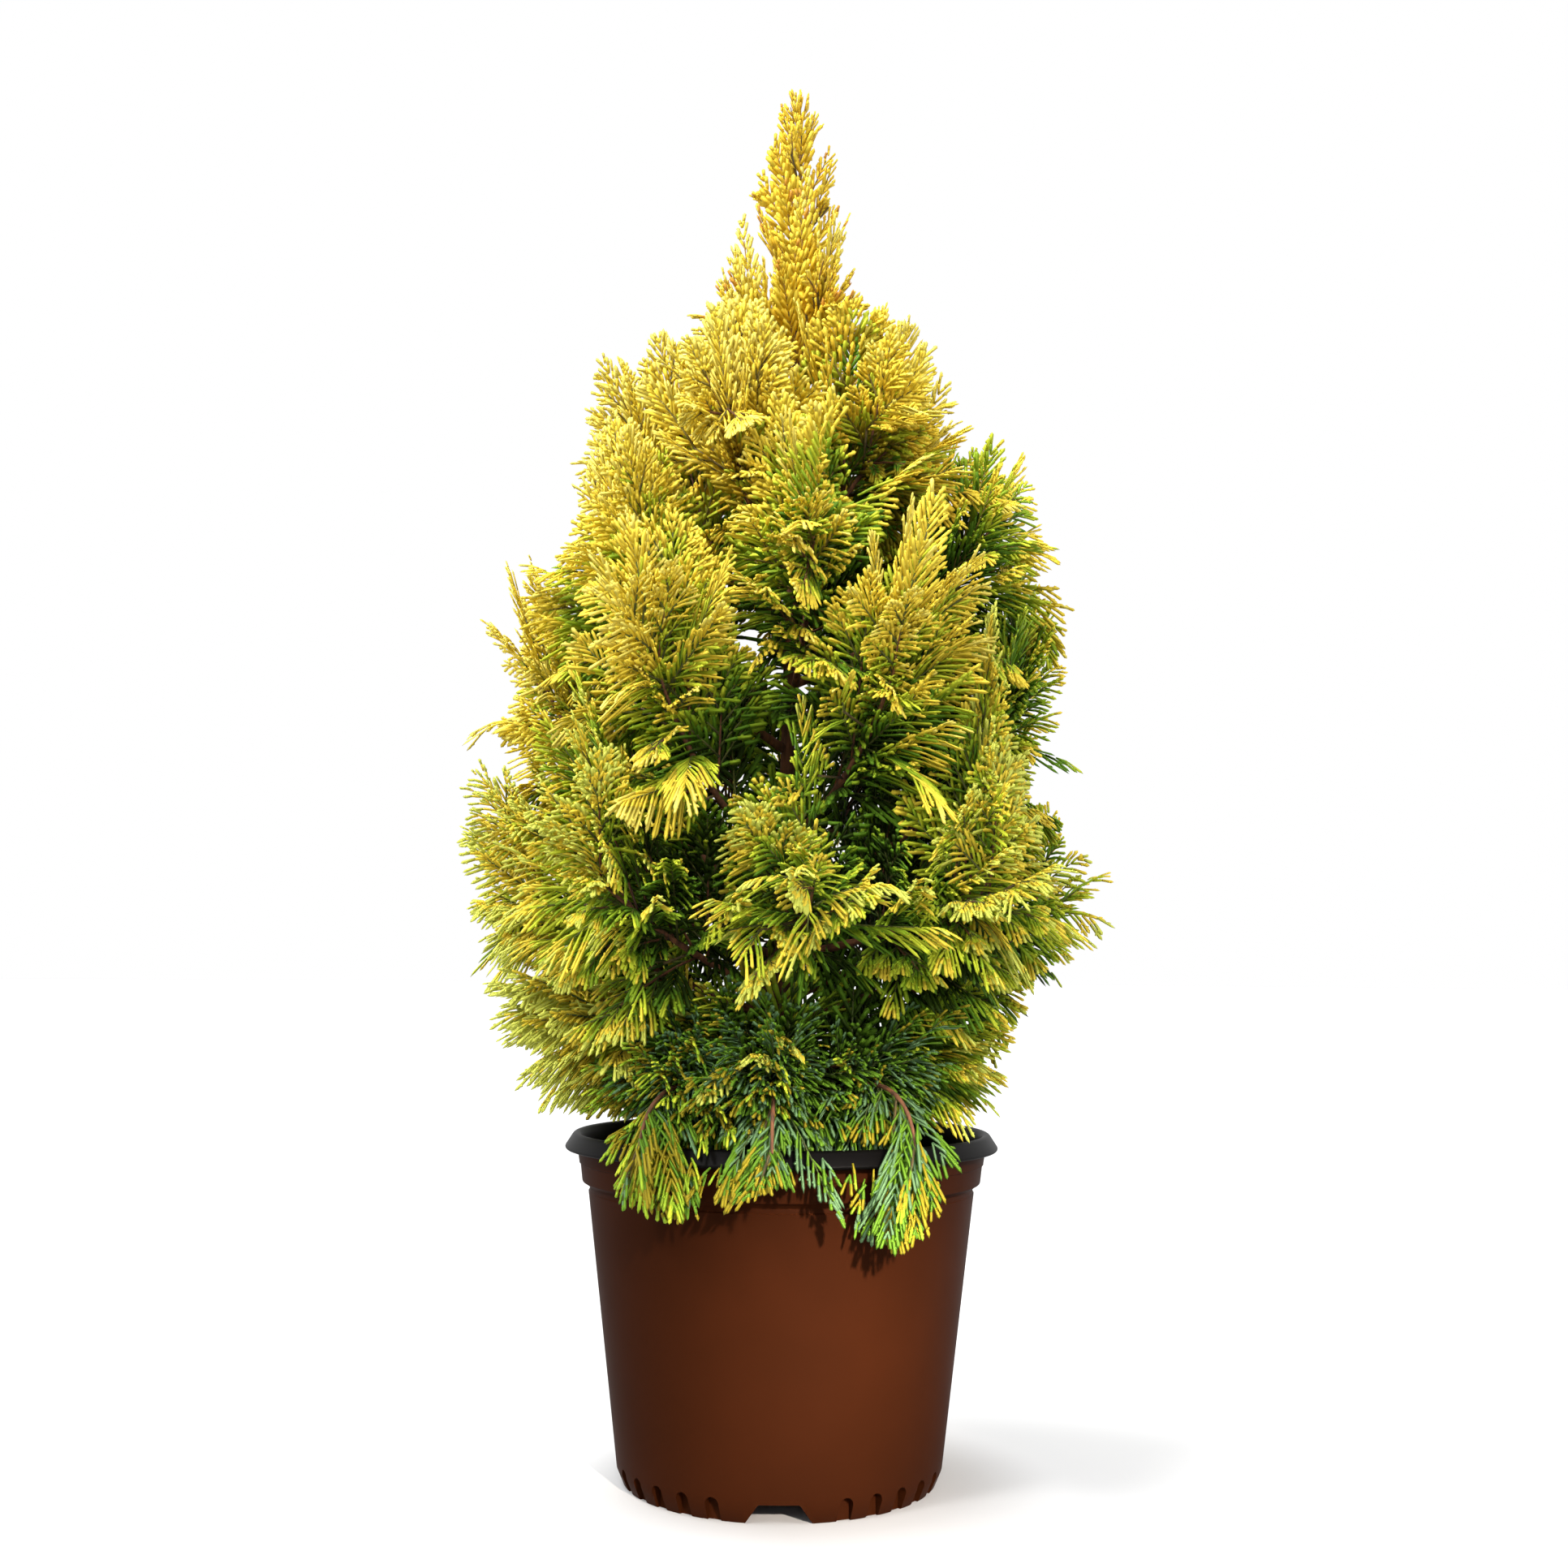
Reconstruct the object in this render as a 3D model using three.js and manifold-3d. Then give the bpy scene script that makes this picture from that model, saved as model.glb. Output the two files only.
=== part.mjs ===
// Potted golden arborvitae: a feathery upright conifer standing in a round nursery pot.
// Millimetres, +Z up. The origin is the centre of the pot's foot, on the ground.
import * as THREE from "three";
import Module from "manifold-3d";
import { mergeVertices } from "three/addons/utils/BufferGeometryUtils.js";

const wasm = await Module();
wasm.setup();

// Pot: radii and heights of its wall, foot and rolled lip
const POT = {
  footRadius: 100.2,
  footRingWidth: 5,
  footHeight: 10,
  lowWallRadius: 104.2,
  stepHeight: 186,
  stepRadius: 125.2,
  bandRadius: 129.2,
  bandRise: 2.5,
  neckHeight: 201,
  neckRadius: 131,
  lipUnderHeight: 208,
  lipUnderRadius: 132.5,
  lipHeight: 211.8,
  lipRadius: 140.5,
  lipEdge: 1,
  shoulderRadius: 137.2,
  shoulderDrop: 1.9,
  rimHeight: 219.4,
  rimRadius: 134,
  innerEdge: 1.4,
  innerEdgeDrop: 1.2,
  mouthRadius: 128.9,
  mouthDrop: 4.4,
  wall: 2.4,
  floorHeight: 17,
  sides: 40,
};

// Foot of the pot: arched flutes all round, and four drain notches with sloping ends
const FLUTE = { pitch: 11.25, width: 9, height: 14.5, depth: 2.2, arcSteps: 3 };
const NOTCH = { count: 4, heading: -90, baseWidth: 40, topWidth: 25, height: 12 };
const CUTTER = { reach: 20, below: 1 };

// Potting mix inside the pot, level on top
const SOIL = { height: 200, clearance: 0.3 };

// Touching pieces keep this gap, and numbers are rounded by less than this
const GAP = 0.3;
const ROUNDING = 0.01;

// Trunk: from a flat cut at the potting mix up to where the leader plume begins
const TRUNK = {
  footHeight: SOIL.height + GAP,
  tipHeight: 806,
  radius: 7.5,
  tipRadius: 1.6,
  flare: 6.5,
  flareHeight: 16,
  lean: 8,
  leanPower: 1.5,
  sway: 4,
  sides: 10,
  rings: 12,
  ringPower: 1.8,
};

// Boughs: radius at the trunk and at the far end
const BOUGH = { radius: 3.4, tipRadius: 2, sides: 6, steps: 4 };

// Stems inside the plumes, their side twigs and the toothed sprays that they carry
const STEM = { radius: 2.4, tipRadius: 1.3, sides: 3, steps: 4, past: 0.02 };
const TWIG = { radius: 1.6, tipRadius: 1.2, sides: 3 };
const SPRAY = { thickness: 0.13, sunk: 0.6, sag: 0.3, tries: [1, 0.8, 0.62, 0.45] };
const LAST_SPRAY = 0.8;

// How shoots leave a stem: angles in radians, from its foot to its top, and shares of a spray
const GROWTH = {
  turn: 2.4,
  scatter: 0.8,
  lowAngle: 0.95,
  highAngle: 0.55,
  topShare: 0.65,
  roll: 1.6,
  twigEvery: 3,
  twigShare: 0.5,
  twigRoots: [0.6, 0.97],
  forkShare: 0.7,
  fork: 0.45,
  vary: 0.1,
  droopVary: 0.4,
};

// A plume's space: what lies nearer to its marks than to another's, give or take the overlap,
// and within the crown's reach from the axis
const SPACE = { marks: 16, overlap: 14, reach: 213 };

// Booleans leave slivers below this size, which are smoothed away
const SIMPLIFY = 0.15;

// Half outline of a spray, root to tip: shares of its length along it and across it
const SPRAY_OUTLINE = [
  [0.62, 0.29],
  [0.64, 0.11],
];
const SPRAY_CENTRE = 0.26;

// Rings of plumes, from the top down. Headings are degrees round the pot: 0 right, 90 back,
// 180 left, 270 front. foot is where a plume leaves the trunk. left and right give the reach
// and the height of its tip on each side, and the rest lie between the two. out and lift place
// the bend, bough is the share of the way that is bare wood, and spray is the sprays' length.
const RINGS = [
  {
    name: "crest",
    headings: [205, 325, 85],
    foot: 716,
    stagger: 12,
    left: [42, 818],
    right: [40, 832],
    out: 0.9,
    lift: 0.3,
    bough: 0,
    spray: 78,
    bare: 0.12,
    shoots: 5,
    droop: 0,
  },
  {
    name: "shoulder",
    headings: [186, 246, 318, 30, 112],
    foot: 560,
    stagger: 11,
    left: [112, 728],
    right: [106, 742],
    out: 0.86,
    lift: 0.3,
    bough: 0,
    spray: 96,
    bare: 0.16,
    shoots: 7,
    droop: 0.1,
  },
  {
    name: "middle",
    headings: [212, 278, 348, 66, 142],
    foot: 470,
    stagger: 11,
    left: [136, 640],
    right: [160, 664],
    out: 0.8,
    lift: 0.3,
    bough: 0.24,
    spray: 100,
    bare: 0,
    shoots: 7,
    droop: 0.2,
  },
  {
    name: "broad",
    headings: [184, 240, 296, 2, 62, 122],
    foot: 372,
    stagger: 9,
    left: [184, 584],
    right: [176, 562],
    out: 0.84,
    lift: 0.28,
    bough: 0.26,
    spray: 104,
    bare: 0,
    shoots: 8,
    droop: 0.25,
  },
  {
    name: "wide",
    headings: [180, 230, 276, 322, 6, 50, 92, 136],
    foot: 290,
    stagger: 7,
    left: [206, 412],
    right: [207, 386],
    out: 0.75,
    lift: 0.45,
    bough: 0.26,
    spray: 100,
    bare: 0,
    shoots: 8,
    droop: 0.35,
  },
  {
    name: "skirt",
    headings: [200, 264, 336, 40, 122],
    foot: 246,
    stagger: 4,
    left: [160, 286],
    right: [140, 262],
    out: 0.7,
    lift: 1.5,
    bough: 0,
    spray: 88,
    bare: 0.2,
    shoots: 7,
    droop: 0.45,
  },
  {
    name: "fringe",
    headings: [238, 268, 300, 88],
    foot: 226,
    stagger: 0,
    left: [152, 176],
    right: [152, 172],
    out: 1.22,
    lift: -1.5,
    bough: 0,
    spray: 66,
    bare: 0.46,
    shoots: 5,
    droop: 0.7,
  },
];

// Leader plume: the straight top of the plant
const LEADER = {
  name: "leader",
  tipHeight: 934.4,
  tipLean: 8.4,
  seed: 77,
  bough: 0,
  bare: 0.04,
  spray: 62,
  droop: 0,
  shoots: 7,
};

// Seeds of a ring's plumes start this far after those of the ring above
const SEED_STEP = 1000;

// Next state of a draw: the last one times the multiplier plus the step, within the span
const DRAW = { multiplier: 1664525, step: 1013904223, span: 2 ** 32 };

// Corners that are closer than this are one corner
const MERGE = 1e-4;

// Materials
const PLASTIC_ROUGHNESS = 0.55;
const NATURAL_ROUGHNESS = 0.9;
const POT_BROWN = 0x5f2d1a;
const SOIL_BROWN = 0x2e2214;
const BARK_BROWN = 0x6b4226;
const RING_COLOURS = {
  leader: 0xd9a528,
  crest: 0xdcae26,
  shoulder: 0xd4b82a,
  middle: 0xb9ae2b,
  broad: 0x9fa42a,
  wide: 0x84982c,
  skirt: 0x6a8a34,
  fringe: 0x5d7f45,
};

function matte(color, roughness) {
  return new THREE.MeshStandardMaterial({ color, roughness, metalness: 0 });
}

const radians = THREE.MathUtils.degToRad;
const lerp = THREE.MathUtils.lerp;

// Evenly spread numbers from 0 to 1 that are the same on every run
function draws(seed) {
  let state = seed >>> 0;
  return () => {
    state = (Math.imul(state, DRAW.multiplier) + DRAW.step) >>> 0;
    return state / DRAW.span;
  };
}

// A closed solid from a three.js geometry
function solidOf(geometry) {
  const bare = geometry.clone();
  bare.deleteAttribute("normal");
  bare.deleteAttribute("uv");
  const merged = mergeVertices(bare, MERGE);
  return new wasm.Manifold(
    new wasm.Mesh({
      numProp: 3,
      vertProperties: new Float32Array(merged.attributes.position.array),
      triVerts: new Uint32Array(merged.index.array),
    }),
  );
}

// A three.js geometry from a solid
function geometryOf(solid) {
  const mesh = solid.getMesh();
  const geometry = new THREE.BufferGeometry();
  geometry.setAttribute("position", new THREE.BufferAttribute(mesh.vertProperties, 3));
  geometry.setIndex(new THREE.BufferAttribute(mesh.triVerts, 1));
  geometry.computeVertexNormals();
  return geometry;
}

// An indexed geometry from a list of points and a list of triangles
function facets(points, triangles) {
  const geometry = new THREE.BufferGeometry();
  const flat = points.flatMap((point) => point.toArray());
  geometry.setAttribute("position", new THREE.Float32BufferAttribute(flat, 3));
  geometry.setIndex(triangles.flat());
  return geometry;
}

// Centre line of the trunk at a height
function trunkCentre(height) {
  const share = (height - TRUNK.footHeight) / (TRUNK.tipHeight - TRUNK.footHeight);
  const lean = TRUNK.lean * share ** TRUNK.leanPower;
  return new THREE.Vector3(lean, TRUNK.sway * Math.sin(Math.PI * share), height);
}

// Radius of the trunk at a height: an even taper and a root flare at the foot
function trunkRadius(height) {
  const rise = height - TRUNK.footHeight;
  const share = rise / (TRUNK.tipHeight - TRUNK.footHeight);
  return lerp(TRUNK.radius, TRUNK.tipRadius, share) + TRUNK.flare * Math.exp(-rise / TRUNK.flareHeight);
}

// A tapering limb through rings, each with a centre, a radius and two cross directions
function limb(rings, sides) {
  const points = [];
  const triangles = [];
  rings.forEach(({ centre, radius, side, normal }) => {
    for (let i = 0; i < sides; i += 1) {
      const turn = (2 * Math.PI * i) / sides;
      const offset = normal.clone().multiplyScalar(radius * Math.cos(turn));
      offset.addScaledVector(side, radius * Math.sin(turn));
      points.push(centre.clone().add(offset));
    }
  });
  for (let ring = 0; ring + 1 < rings.length; ring += 1) {
    for (let i = 0; i < sides; i += 1) {
      const low = ring * sides + i;
      const lowNext = ring * sides + ((i + 1) % sides);
      triangles.push([low, lowNext, lowNext + sides], [low, lowNext + sides, low + sides]);
    }
  }
  const top = (rings.length - 1) * sides;
  for (let i = 1; i + 1 < sides; i += 1) {
    triangles.push([0, i + 1, i], [top, top + i, top + i + 1]);
  }
  return facets(points, triangles);
}

// Trunk, or a sleeve that stands off its bark: rings are closer together at the flare
function trunkGeometry(standOff) {
  const rings = [];
  for (let i = 0; i <= TRUNK.rings; i += 1) {
    const share = (i / TRUNK.rings) ** TRUNK.ringPower;
    const height = lerp(TRUNK.footHeight, TRUNK.tipHeight, share);
    const past = i === TRUNK.rings ? standOff : 0;
    rings.push({
      centre: trunkCentre(height).setZ(height + past),
      radius: trunkRadius(height) + standOff / Math.cos(Math.PI / TRUNK.sides),
      side: new THREE.Vector3(0, 1, 0),
      normal: new THREE.Vector3(1, 0, 0),
    });
  }
  return limb(rings, TRUNK.sides);
}

// Outline of the pot's wall as a closed section, and the section turned about the axis
function potGeometry() {
  const inner = POT.footRadius - POT.footRingWidth;
  const floorTop = POT.floorHeight + POT.wall;
  const lowInner = POT.lowWallRadius - POT.wall;
  const section = [
    [0, POT.floorHeight],
    [inner, POT.floorHeight],
    [inner, 0],
    [POT.footRadius, 0],
    [POT.lowWallRadius, POT.footHeight],
    [POT.stepRadius, POT.stepHeight],
    [POT.bandRadius, POT.stepHeight + POT.bandRise],
    [POT.neckRadius, POT.neckHeight],
    [POT.lipUnderRadius, POT.lipUnderHeight],
    [POT.lipRadius - POT.lipEdge, POT.lipUnderHeight + POT.lipEdge],
    [POT.lipRadius, POT.lipHeight],
    [POT.shoulderRadius, POT.rimHeight - POT.shoulderDrop],
    [POT.rimRadius, POT.rimHeight],
    [POT.mouthRadius + POT.innerEdge, POT.rimHeight - POT.innerEdgeDrop],
    [POT.mouthRadius, POT.rimHeight - POT.mouthDrop],
    [POT.neckRadius - POT.wall, POT.neckHeight],
    [POT.bandRadius - POT.wall, POT.stepHeight + POT.bandRise],
    [POT.stepRadius - POT.wall, POT.stepHeight],
    [lowInner, floorTop],
    [0, floorTop],
  ].map(([radius, height]) => new THREE.Vector2(radius, height));
  return upright(new THREE.LatheGeometry(section, POT.sides));
}

// A lathe turns about Y, so it is stood up to turn about Z
function upright(lathe) {
  return lathe.rotateX(Math.PI / 2);
}

// A cutter that enters the pot's foot from outside, at a heading, to a depth
function footCutter(shape, heading, depth) {
  const cutter = new THREE.ExtrudeGeometry(shape, { depth: CUTTER.reach, bevelEnabled: false });
  cutter.rotateX(Math.PI / 2);
  cutter.rotateZ(Math.PI / 2);
  cutter.translate(POT.footRadius - depth, 0, 0);
  cutter.rotateZ(radians(heading));
  return solidOf(cutter);
}

// Arched flute, open at the ground
function fluteShape() {
  const half = FLUTE.width / 2;
  const shape = new THREE.Shape();
  shape.moveTo(-half, -CUTTER.below);
  shape.lineTo(half, -CUTTER.below);
  for (let i = 0; i <= FLUTE.arcSteps; i += 1) {
    const turn = (Math.PI * i) / FLUTE.arcSteps;
    shape.lineTo(half * Math.cos(turn), FLUTE.height - half + half * Math.sin(turn));
  }
  return shape;
}

// Drain notch: a trapezoid, wider at the ground
function notchShape() {
  const shape = new THREE.Shape();
  const slope = (NOTCH.baseWidth - NOTCH.topWidth) / 2 / NOTCH.height;
  const half = NOTCH.baseWidth / 2 + slope * CUTTER.below;
  shape.moveTo(-half, -CUTTER.below);
  shape.lineTo(half, -CUTTER.below);
  shape.lineTo(NOTCH.topWidth / 2, NOTCH.height);
  shape.lineTo(-NOTCH.topWidth / 2, NOTCH.height);
  return shape;
}

// Whole pot: the turned wall less its flutes and notches
function pot() {
  let solid = solidOf(potGeometry());
  const notchStep = 360 / NOTCH.count;
  for (let i = 0; i < NOTCH.count; i += 1) {
    const heading = NOTCH.heading + i * notchStep;
    solid = solid.subtract(footCutter(notchShape(), heading, 2 * POT.footRingWidth));
    for (let turn = 2 * FLUTE.pitch; turn <= notchStep - 2 * FLUTE.pitch; turn += FLUTE.pitch) {
      solid = solid.subtract(footCutter(fluteShape(), heading + turn, FLUTE.depth));
    }
  }
  return solid;
}

// Potting mix: fills the pot a hair clear of its wall and floor
function soil() {
  const floor = POT.floorHeight + POT.wall + SOIL.clearance;
  const radiusAt = (height) => {
    const share = (height - floor) / (POT.stepHeight - floor);
    return lerp(POT.lowWallRadius, POT.stepRadius, share) - POT.wall - 2 * SOIL.clearance;
  };
  const section = [
    [0, floor],
    [radiusAt(floor), floor],
    [radiusAt(POT.stepHeight), POT.stepHeight],
    [radiusAt(SOIL.height), SOIL.height],
    [0, SOIL.height],
  ].map(([radius, height]) => new THREE.Vector2(radius, height));
  return solidOf(upright(new THREE.LatheGeometry(section, POT.sides)));
}

// One plume: the curve from the trunk to its tip, and the numbers that its sprays need
function plumeOf(ring, heading, index) {
  const turn = radians(heading);
  const toLeft = (1 - Math.cos(turn)) / 2;
  const reach = lerp(ring.right[0], ring.left[0], toLeft);
  const tip = lerp(ring.right[1], ring.left[1], toLeft);
  const outward = new THREE.Vector3(Math.cos(turn), Math.sin(turn), 0);
  const foot = ring.foot + ring.stagger * ((2 * index) % ring.headings.length);
  const start = trunkCentre(foot);
  const bend = outward.clone().multiplyScalar(ring.out * reach);
  bend.z = foot + ring.lift * (tip - foot);
  const end = outward.clone().multiplyScalar(reach).setZ(tip);
  return {
    name: `${ring.name}_plume_${index + 1}`,
    boughName: `${ring.name}_bough_${index + 1}`,
    ring,
    heading: turn,
    seed: SEED_STEP * (RINGS.indexOf(ring) + 1) + index,
    curve: new THREE.QuadraticBezierCurve3(start, bend, end),
  };
}

// Leader plume, straight on from the trunk's tip
function leaderPlume() {
  const start = trunkCentre(TRUNK.tipHeight);
  const end = new THREE.Vector3(LEADER.tipLean, 0, LEADER.tipHeight);
  return {
    name: "leader_plume",
    ring: LEADER,
    heading: 0,
    seed: LEADER.seed,
    curve: new THREE.QuadraticBezierCurve3(start, start.clone().lerp(end, 0.5), end),
  };
}

// Centre and cross directions of a plume at a share of its curve
function frameAt(plume, share) {
  const along = plume.curve.getTangent(share);
  const side = new THREE.Vector3(-Math.sin(plume.heading), Math.cos(plume.heading), 0);
  const normal = side.clone().cross(along).normalize();
  return { centre: plume.curve.getPoint(share), along, side, normal };
}

// A limb along a stretch of a plume's curve
function stretch(plume, from, to, { radius, tipRadius, sides, steps }) {
  const rings = [];
  for (let i = 0; i <= steps; i += 1) {
    const frame = frameAt(plume, lerp(from, to, i / steps));
    rings.push({ ...frame, radius: lerp(radius, tipRadius, i / steps) });
  }
  return solidOf(limb(rings, sides));
}

// Share of a plume's curve at which its stem starts, past its bough or inside the trunk
function stemStart(plume) {
  return plume.ring.bough > 0 ? plume.ring.bough + GAP / plume.curve.getLength() : 0;
}

// Share of a plume's curve at which its last spray is rooted
function stemEnd(plume) {
  return 1 - (LAST_SPRAY * plume.ring.spray) / plume.curve.getLength();
}

// Direction that leaves a stem at an angle, turned round it, and pulled down by its weight
function leaning(frame, turn, angle, droop) {
  const radial = frame.side.clone().multiplyScalar(Math.cos(turn));
  radial.addScaledVector(frame.normal, Math.sin(turn));
  const along = frame.along.clone().multiplyScalar(Math.cos(angle));
  along.addScaledVector(radial, Math.sin(angle));
  along.z -= droop;
  return along.normalize();
}

// Direction across a spray, so that its flat face looks outwards, with a little roll
function acrossOf(side, along, roll) {
  const across = side.clone().addScaledVector(along, -side.dot(along)).normalize();
  return across.applyAxisAngle(along, roll);
}

// A factor near 1, give or take a share
function about(draw, share) {
  return 1 + share * (2 * draw() - 1);
}

// Shoots of one plume by the seeded rule: single sprays, and every third a twig with two sprays
function shootsOf(plume) {
  const draw = draws(plume.seed);
  const { ring } = plume;
  const from = stemStart(plume) + ring.bare;
  const to = stemEnd(plume);
  const shoots = [];
  for (let i = 0; i < ring.shoots; i += 1) {
    const share = i / (ring.shoots - 1);
    const frame = frameAt(plume, lerp(from, to, share));
    const turn = i * GROWTH.turn + (draw() - 0.5) * GROWTH.scatter;
    const angle = lerp(GROWTH.lowAngle, GROWTH.highAngle, share) * about(draw, GROWTH.vary);
    const along = leaning(frame, turn, angle, ring.droop * about(draw, GROWTH.droopVary));
    const length = ring.spray * lerp(1, GROWTH.topShare, share) * about(draw, GROWTH.vary);
    const roll = (draw() - 0.5) * GROWTH.roll;
    const root = frame.centre;
    if (i % GROWTH.twigEvery === 1) {
      const across = acrossOf(frame.side, along, roll);
      const twig = { root, along, across, length: length * GROWTH.twigShare };
      const sprays = GROWTH.twigRoots.map((place, k) => ({
        root: root.clone().addScaledVector(along, twig.length * place),
        along: along.clone().addScaledVector(across, (2 * k - 1) * GROWTH.fork).normalize(),
        across: acrossOf(frame.side, along, roll),
        length: length * GROWTH.forkShare,
      }));
      shoots.push({ twig, sprays });
    } else {
      shoots.push({ sprays: [{ root, along, across: acrossOf(frame.side, along, roll), length }] });
    }
  }
  const root = plume.curve.getPoint(to);
  const reach = plume.curve.v2.clone().sub(root);
  const along = reach.clone().normalize();
  const across = acrossOf(frameAt(plume, 1).side, along, 0);
  shoots.push({ sprays: [{ root, along, across, length: reach.length(), last: true }] });
  return shoots;
}

// A toothed spray: a flat double pyramid on its outline, thickest near its root
function sprayFacets({ root, along, across, length, last }) {
  const level = across.clone().addScaledVector(along, -across.dot(along)).normalize();
  const face = along.clone().cross(level).normalize();
  const sag = last ? 0 : SPRAY.sag * Math.hypot(along.x, along.y);
  const place = ([u, v]) => {
    const point = root.clone().addScaledVector(along, u * length);
    point.addScaledVector(level, v * length);
    point.z -= sag * length * u * u;
    return point;
  };
  const rightSide = SPRAY_OUTLINE.map(([u, v]) => [u, -v]);
  const leftSide = [...SPRAY_OUTLINE].reverse();
  const points = [[-SPRAY.sunk / length, 0], ...rightSide, [1, 0], ...leftSide].map(place);
  const rim = points.length;
  const centre = place([SPRAY_CENTRE, 0]);
  points.push(centre.clone().addScaledVector(face, (SPRAY.thickness * length) / 2));
  points.push(centre.clone().addScaledVector(face, (-SPRAY.thickness * length) / 2));
  const triangles = [];
  for (let i = 0; i < rim; i += 1) {
    const next = (i + 1) % rim;
    triangles.push([rim, i, next], [rim + 1, next, i]);
  }
  return facets(points, triangles);
}

// A side twig: a short three-sided limb from its stem
function twigFacets({ root, along, across, length }) {
  const normal = across.clone().cross(along).normalize();
  const rings = [0, 1].map((share) => ({
    centre: root.clone().addScaledVector(along, share * length),
    radius: lerp(TWIG.radius, TWIG.tipRadius, share),
    side: across,
    normal,
  }));
  return limb(rings, TWIG.sides);
}

// Points along the leafy stretch of a plume, which mark out its space
function spaceMarks(plume) {
  const marks = [];
  for (let i = 0; i <= SPACE.marks; i += 1) {
    marks.push(plume.curve.getPoint(lerp(stemStart(plume) + plume.ring.bare, 1, i / SPACE.marks)));
  }
  return marks;
}

// Distance from a point to the nearest of a plume's marks
function distanceTo(marks, point) {
  return Math.min(...marks.map((mark) => mark.distanceTo(point)));
}

// True if all corners of a shape lie in the crown and nearer to their own plume than to any other
function inOwnSpace(geometry, own, others) {
  const corners = geometry.attributes.position;
  const point = new THREE.Vector3();
  for (let i = 0; i < corners.count; i += 1) {
    point.fromBufferAttribute(corners, i);
    if (Math.hypot(point.x, point.y) > SPACE.reach) {
      return false;
    }
    const limit = distanceTo(own, point) - SPACE.overlap;
    if (others.some((marks) => distanceTo(marks, point) < limit)) {
      return false;
    }
  }
  return true;
}

// True if a solid keeps the gap, less a hair for rounding, to every solid in a list
function isClear(solid, obstacles) {
  return obstacles.every((other) => solid.minGap(other, 2 * GAP) > GAP - ROUNDING);
}

// The largest body of a solid: loose scraps and sealed hollows are left behind
function wholeBody(solid) {
  const bodies = solid.decompose();
  return bodies.reduce((best, body) => (body.volume() > best.volume() ? body : best));
}

// Foliage of one plume: its stem, with every shoot that keeps to its space and clear of the rest.
// A spray that has no room at full length is tried again shorter, and then left out.
function foliage(plume, stem, marks, otherMarks, obstacles) {
  const parts = [stem];
  const sprays = [];
  const fits = (geometry, solid) => inOwnSpace(geometry, marks, otherMarks) && isClear(solid, obstacles);
  shootsOf(plume).forEach((shoot) => {
    if (shoot.twig) {
      const geometry = twigFacets(shoot.twig);
      const solid = solidOf(geometry);
      if (!fits(geometry, solid)) {
        return;
      }
      parts.push(solid);
    }
    shoot.sprays.forEach((spray) => {
      SPRAY.tries.some((share) => {
        const geometry = sprayFacets({ ...spray, length: spray.length * share });
        const solid = solidOf(geometry);
        const free = fits(geometry, solid) && sprays.every((other) => solid.intersect(other).isEmpty());
        if (free || spray.last) {
          parts.push(solid);
          sprays.push(solid);
        }
        return free || spray.last;
      });
    });
  });
  return wholeBody(wasm.Manifold.union(parts).simplify(SIMPLIFY));
}

// Group of named meshes
const group = new THREE.Group();

function addMesh(name, solid, material) {
  const mesh = new THREE.Mesh(geometryOf(solid), material);
  mesh.name = name;
  group.add(mesh);
}

const bark = matte(BARK_BROWN, NATURAL_ROUGHNESS);
const potSolid = pot();
const soilSolid = soil();
const trunkSolid = solidOf(trunkGeometry(0));
const trunkSleeve = solidOf(trunkGeometry(GAP));
addMesh("pot", potSolid, matte(POT_BROWN, PLASTIC_ROUGHNESS));
addMesh("potting_mix", soilSolid, matte(SOIL_BROWN, NATURAL_ROUGHNESS));
addMesh("trunk", trunkSolid, bark);

const plumes = [leaderPlume()];
RINGS.forEach((ring) => ring.headings.forEach((heading, i) => plumes.push(plumeOf(ring, heading, i))));

// Boughs, cut clear of the trunk's bark
const boughs = plumes
  .filter((plume) => plume.ring.bough > 0)
  .map((plume) => {
    const whole = stretch(plume, 0, plume.ring.bough, BOUGH);
    return { name: plume.boughName, solid: wholeBody(whole.subtract(trunkSleeve)) };
  });
boughs.forEach(({ name, solid }) => addMesh(name, solid, bark));

// Stems of all plumes, and then their foliage, each clear of what is already there
const limbs = [potSolid, soilSolid, trunkSolid, ...boughs.map(({ solid }) => solid)];
const stems = plumes.map((plume) => {
  const whole = stretch(plume, stemStart(plume), stemEnd(plume) + STEM.past, STEM);
  return wholeBody(whole.subtract(trunkSleeve));
});
const marks = plumes.map(spaceMarks);
const grown = [...stems];
plumes.forEach((plume, i) => {
  const otherMarks = marks.filter((_, j) => j !== i);
  const others = grown.filter((_, j) => j !== i);
  grown[i] = foliage(plume, stems[i], marks[i], otherMarks, [...limbs, ...others]);
  addMesh(plume.name, grown[i], matte(RING_COLOURS[plume.ring.name], NATURAL_ROUGHNESS));
});

export default group;
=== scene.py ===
"""A golden arborvitae in its round nursery pot, dressed over its solid model.

Sizes are millimetres, turned to metres where a mesh is made. Headings are degrees round the pot:
0 right, 90 back, 180 left, 270 front.
"""

import itertools
import logging
import math
from dataclasses import dataclass, field
from enum import Enum
from typing import Callable, Iterable, Sequence

import bpy
import numpy as np
from mathutils import Matrix


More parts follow.
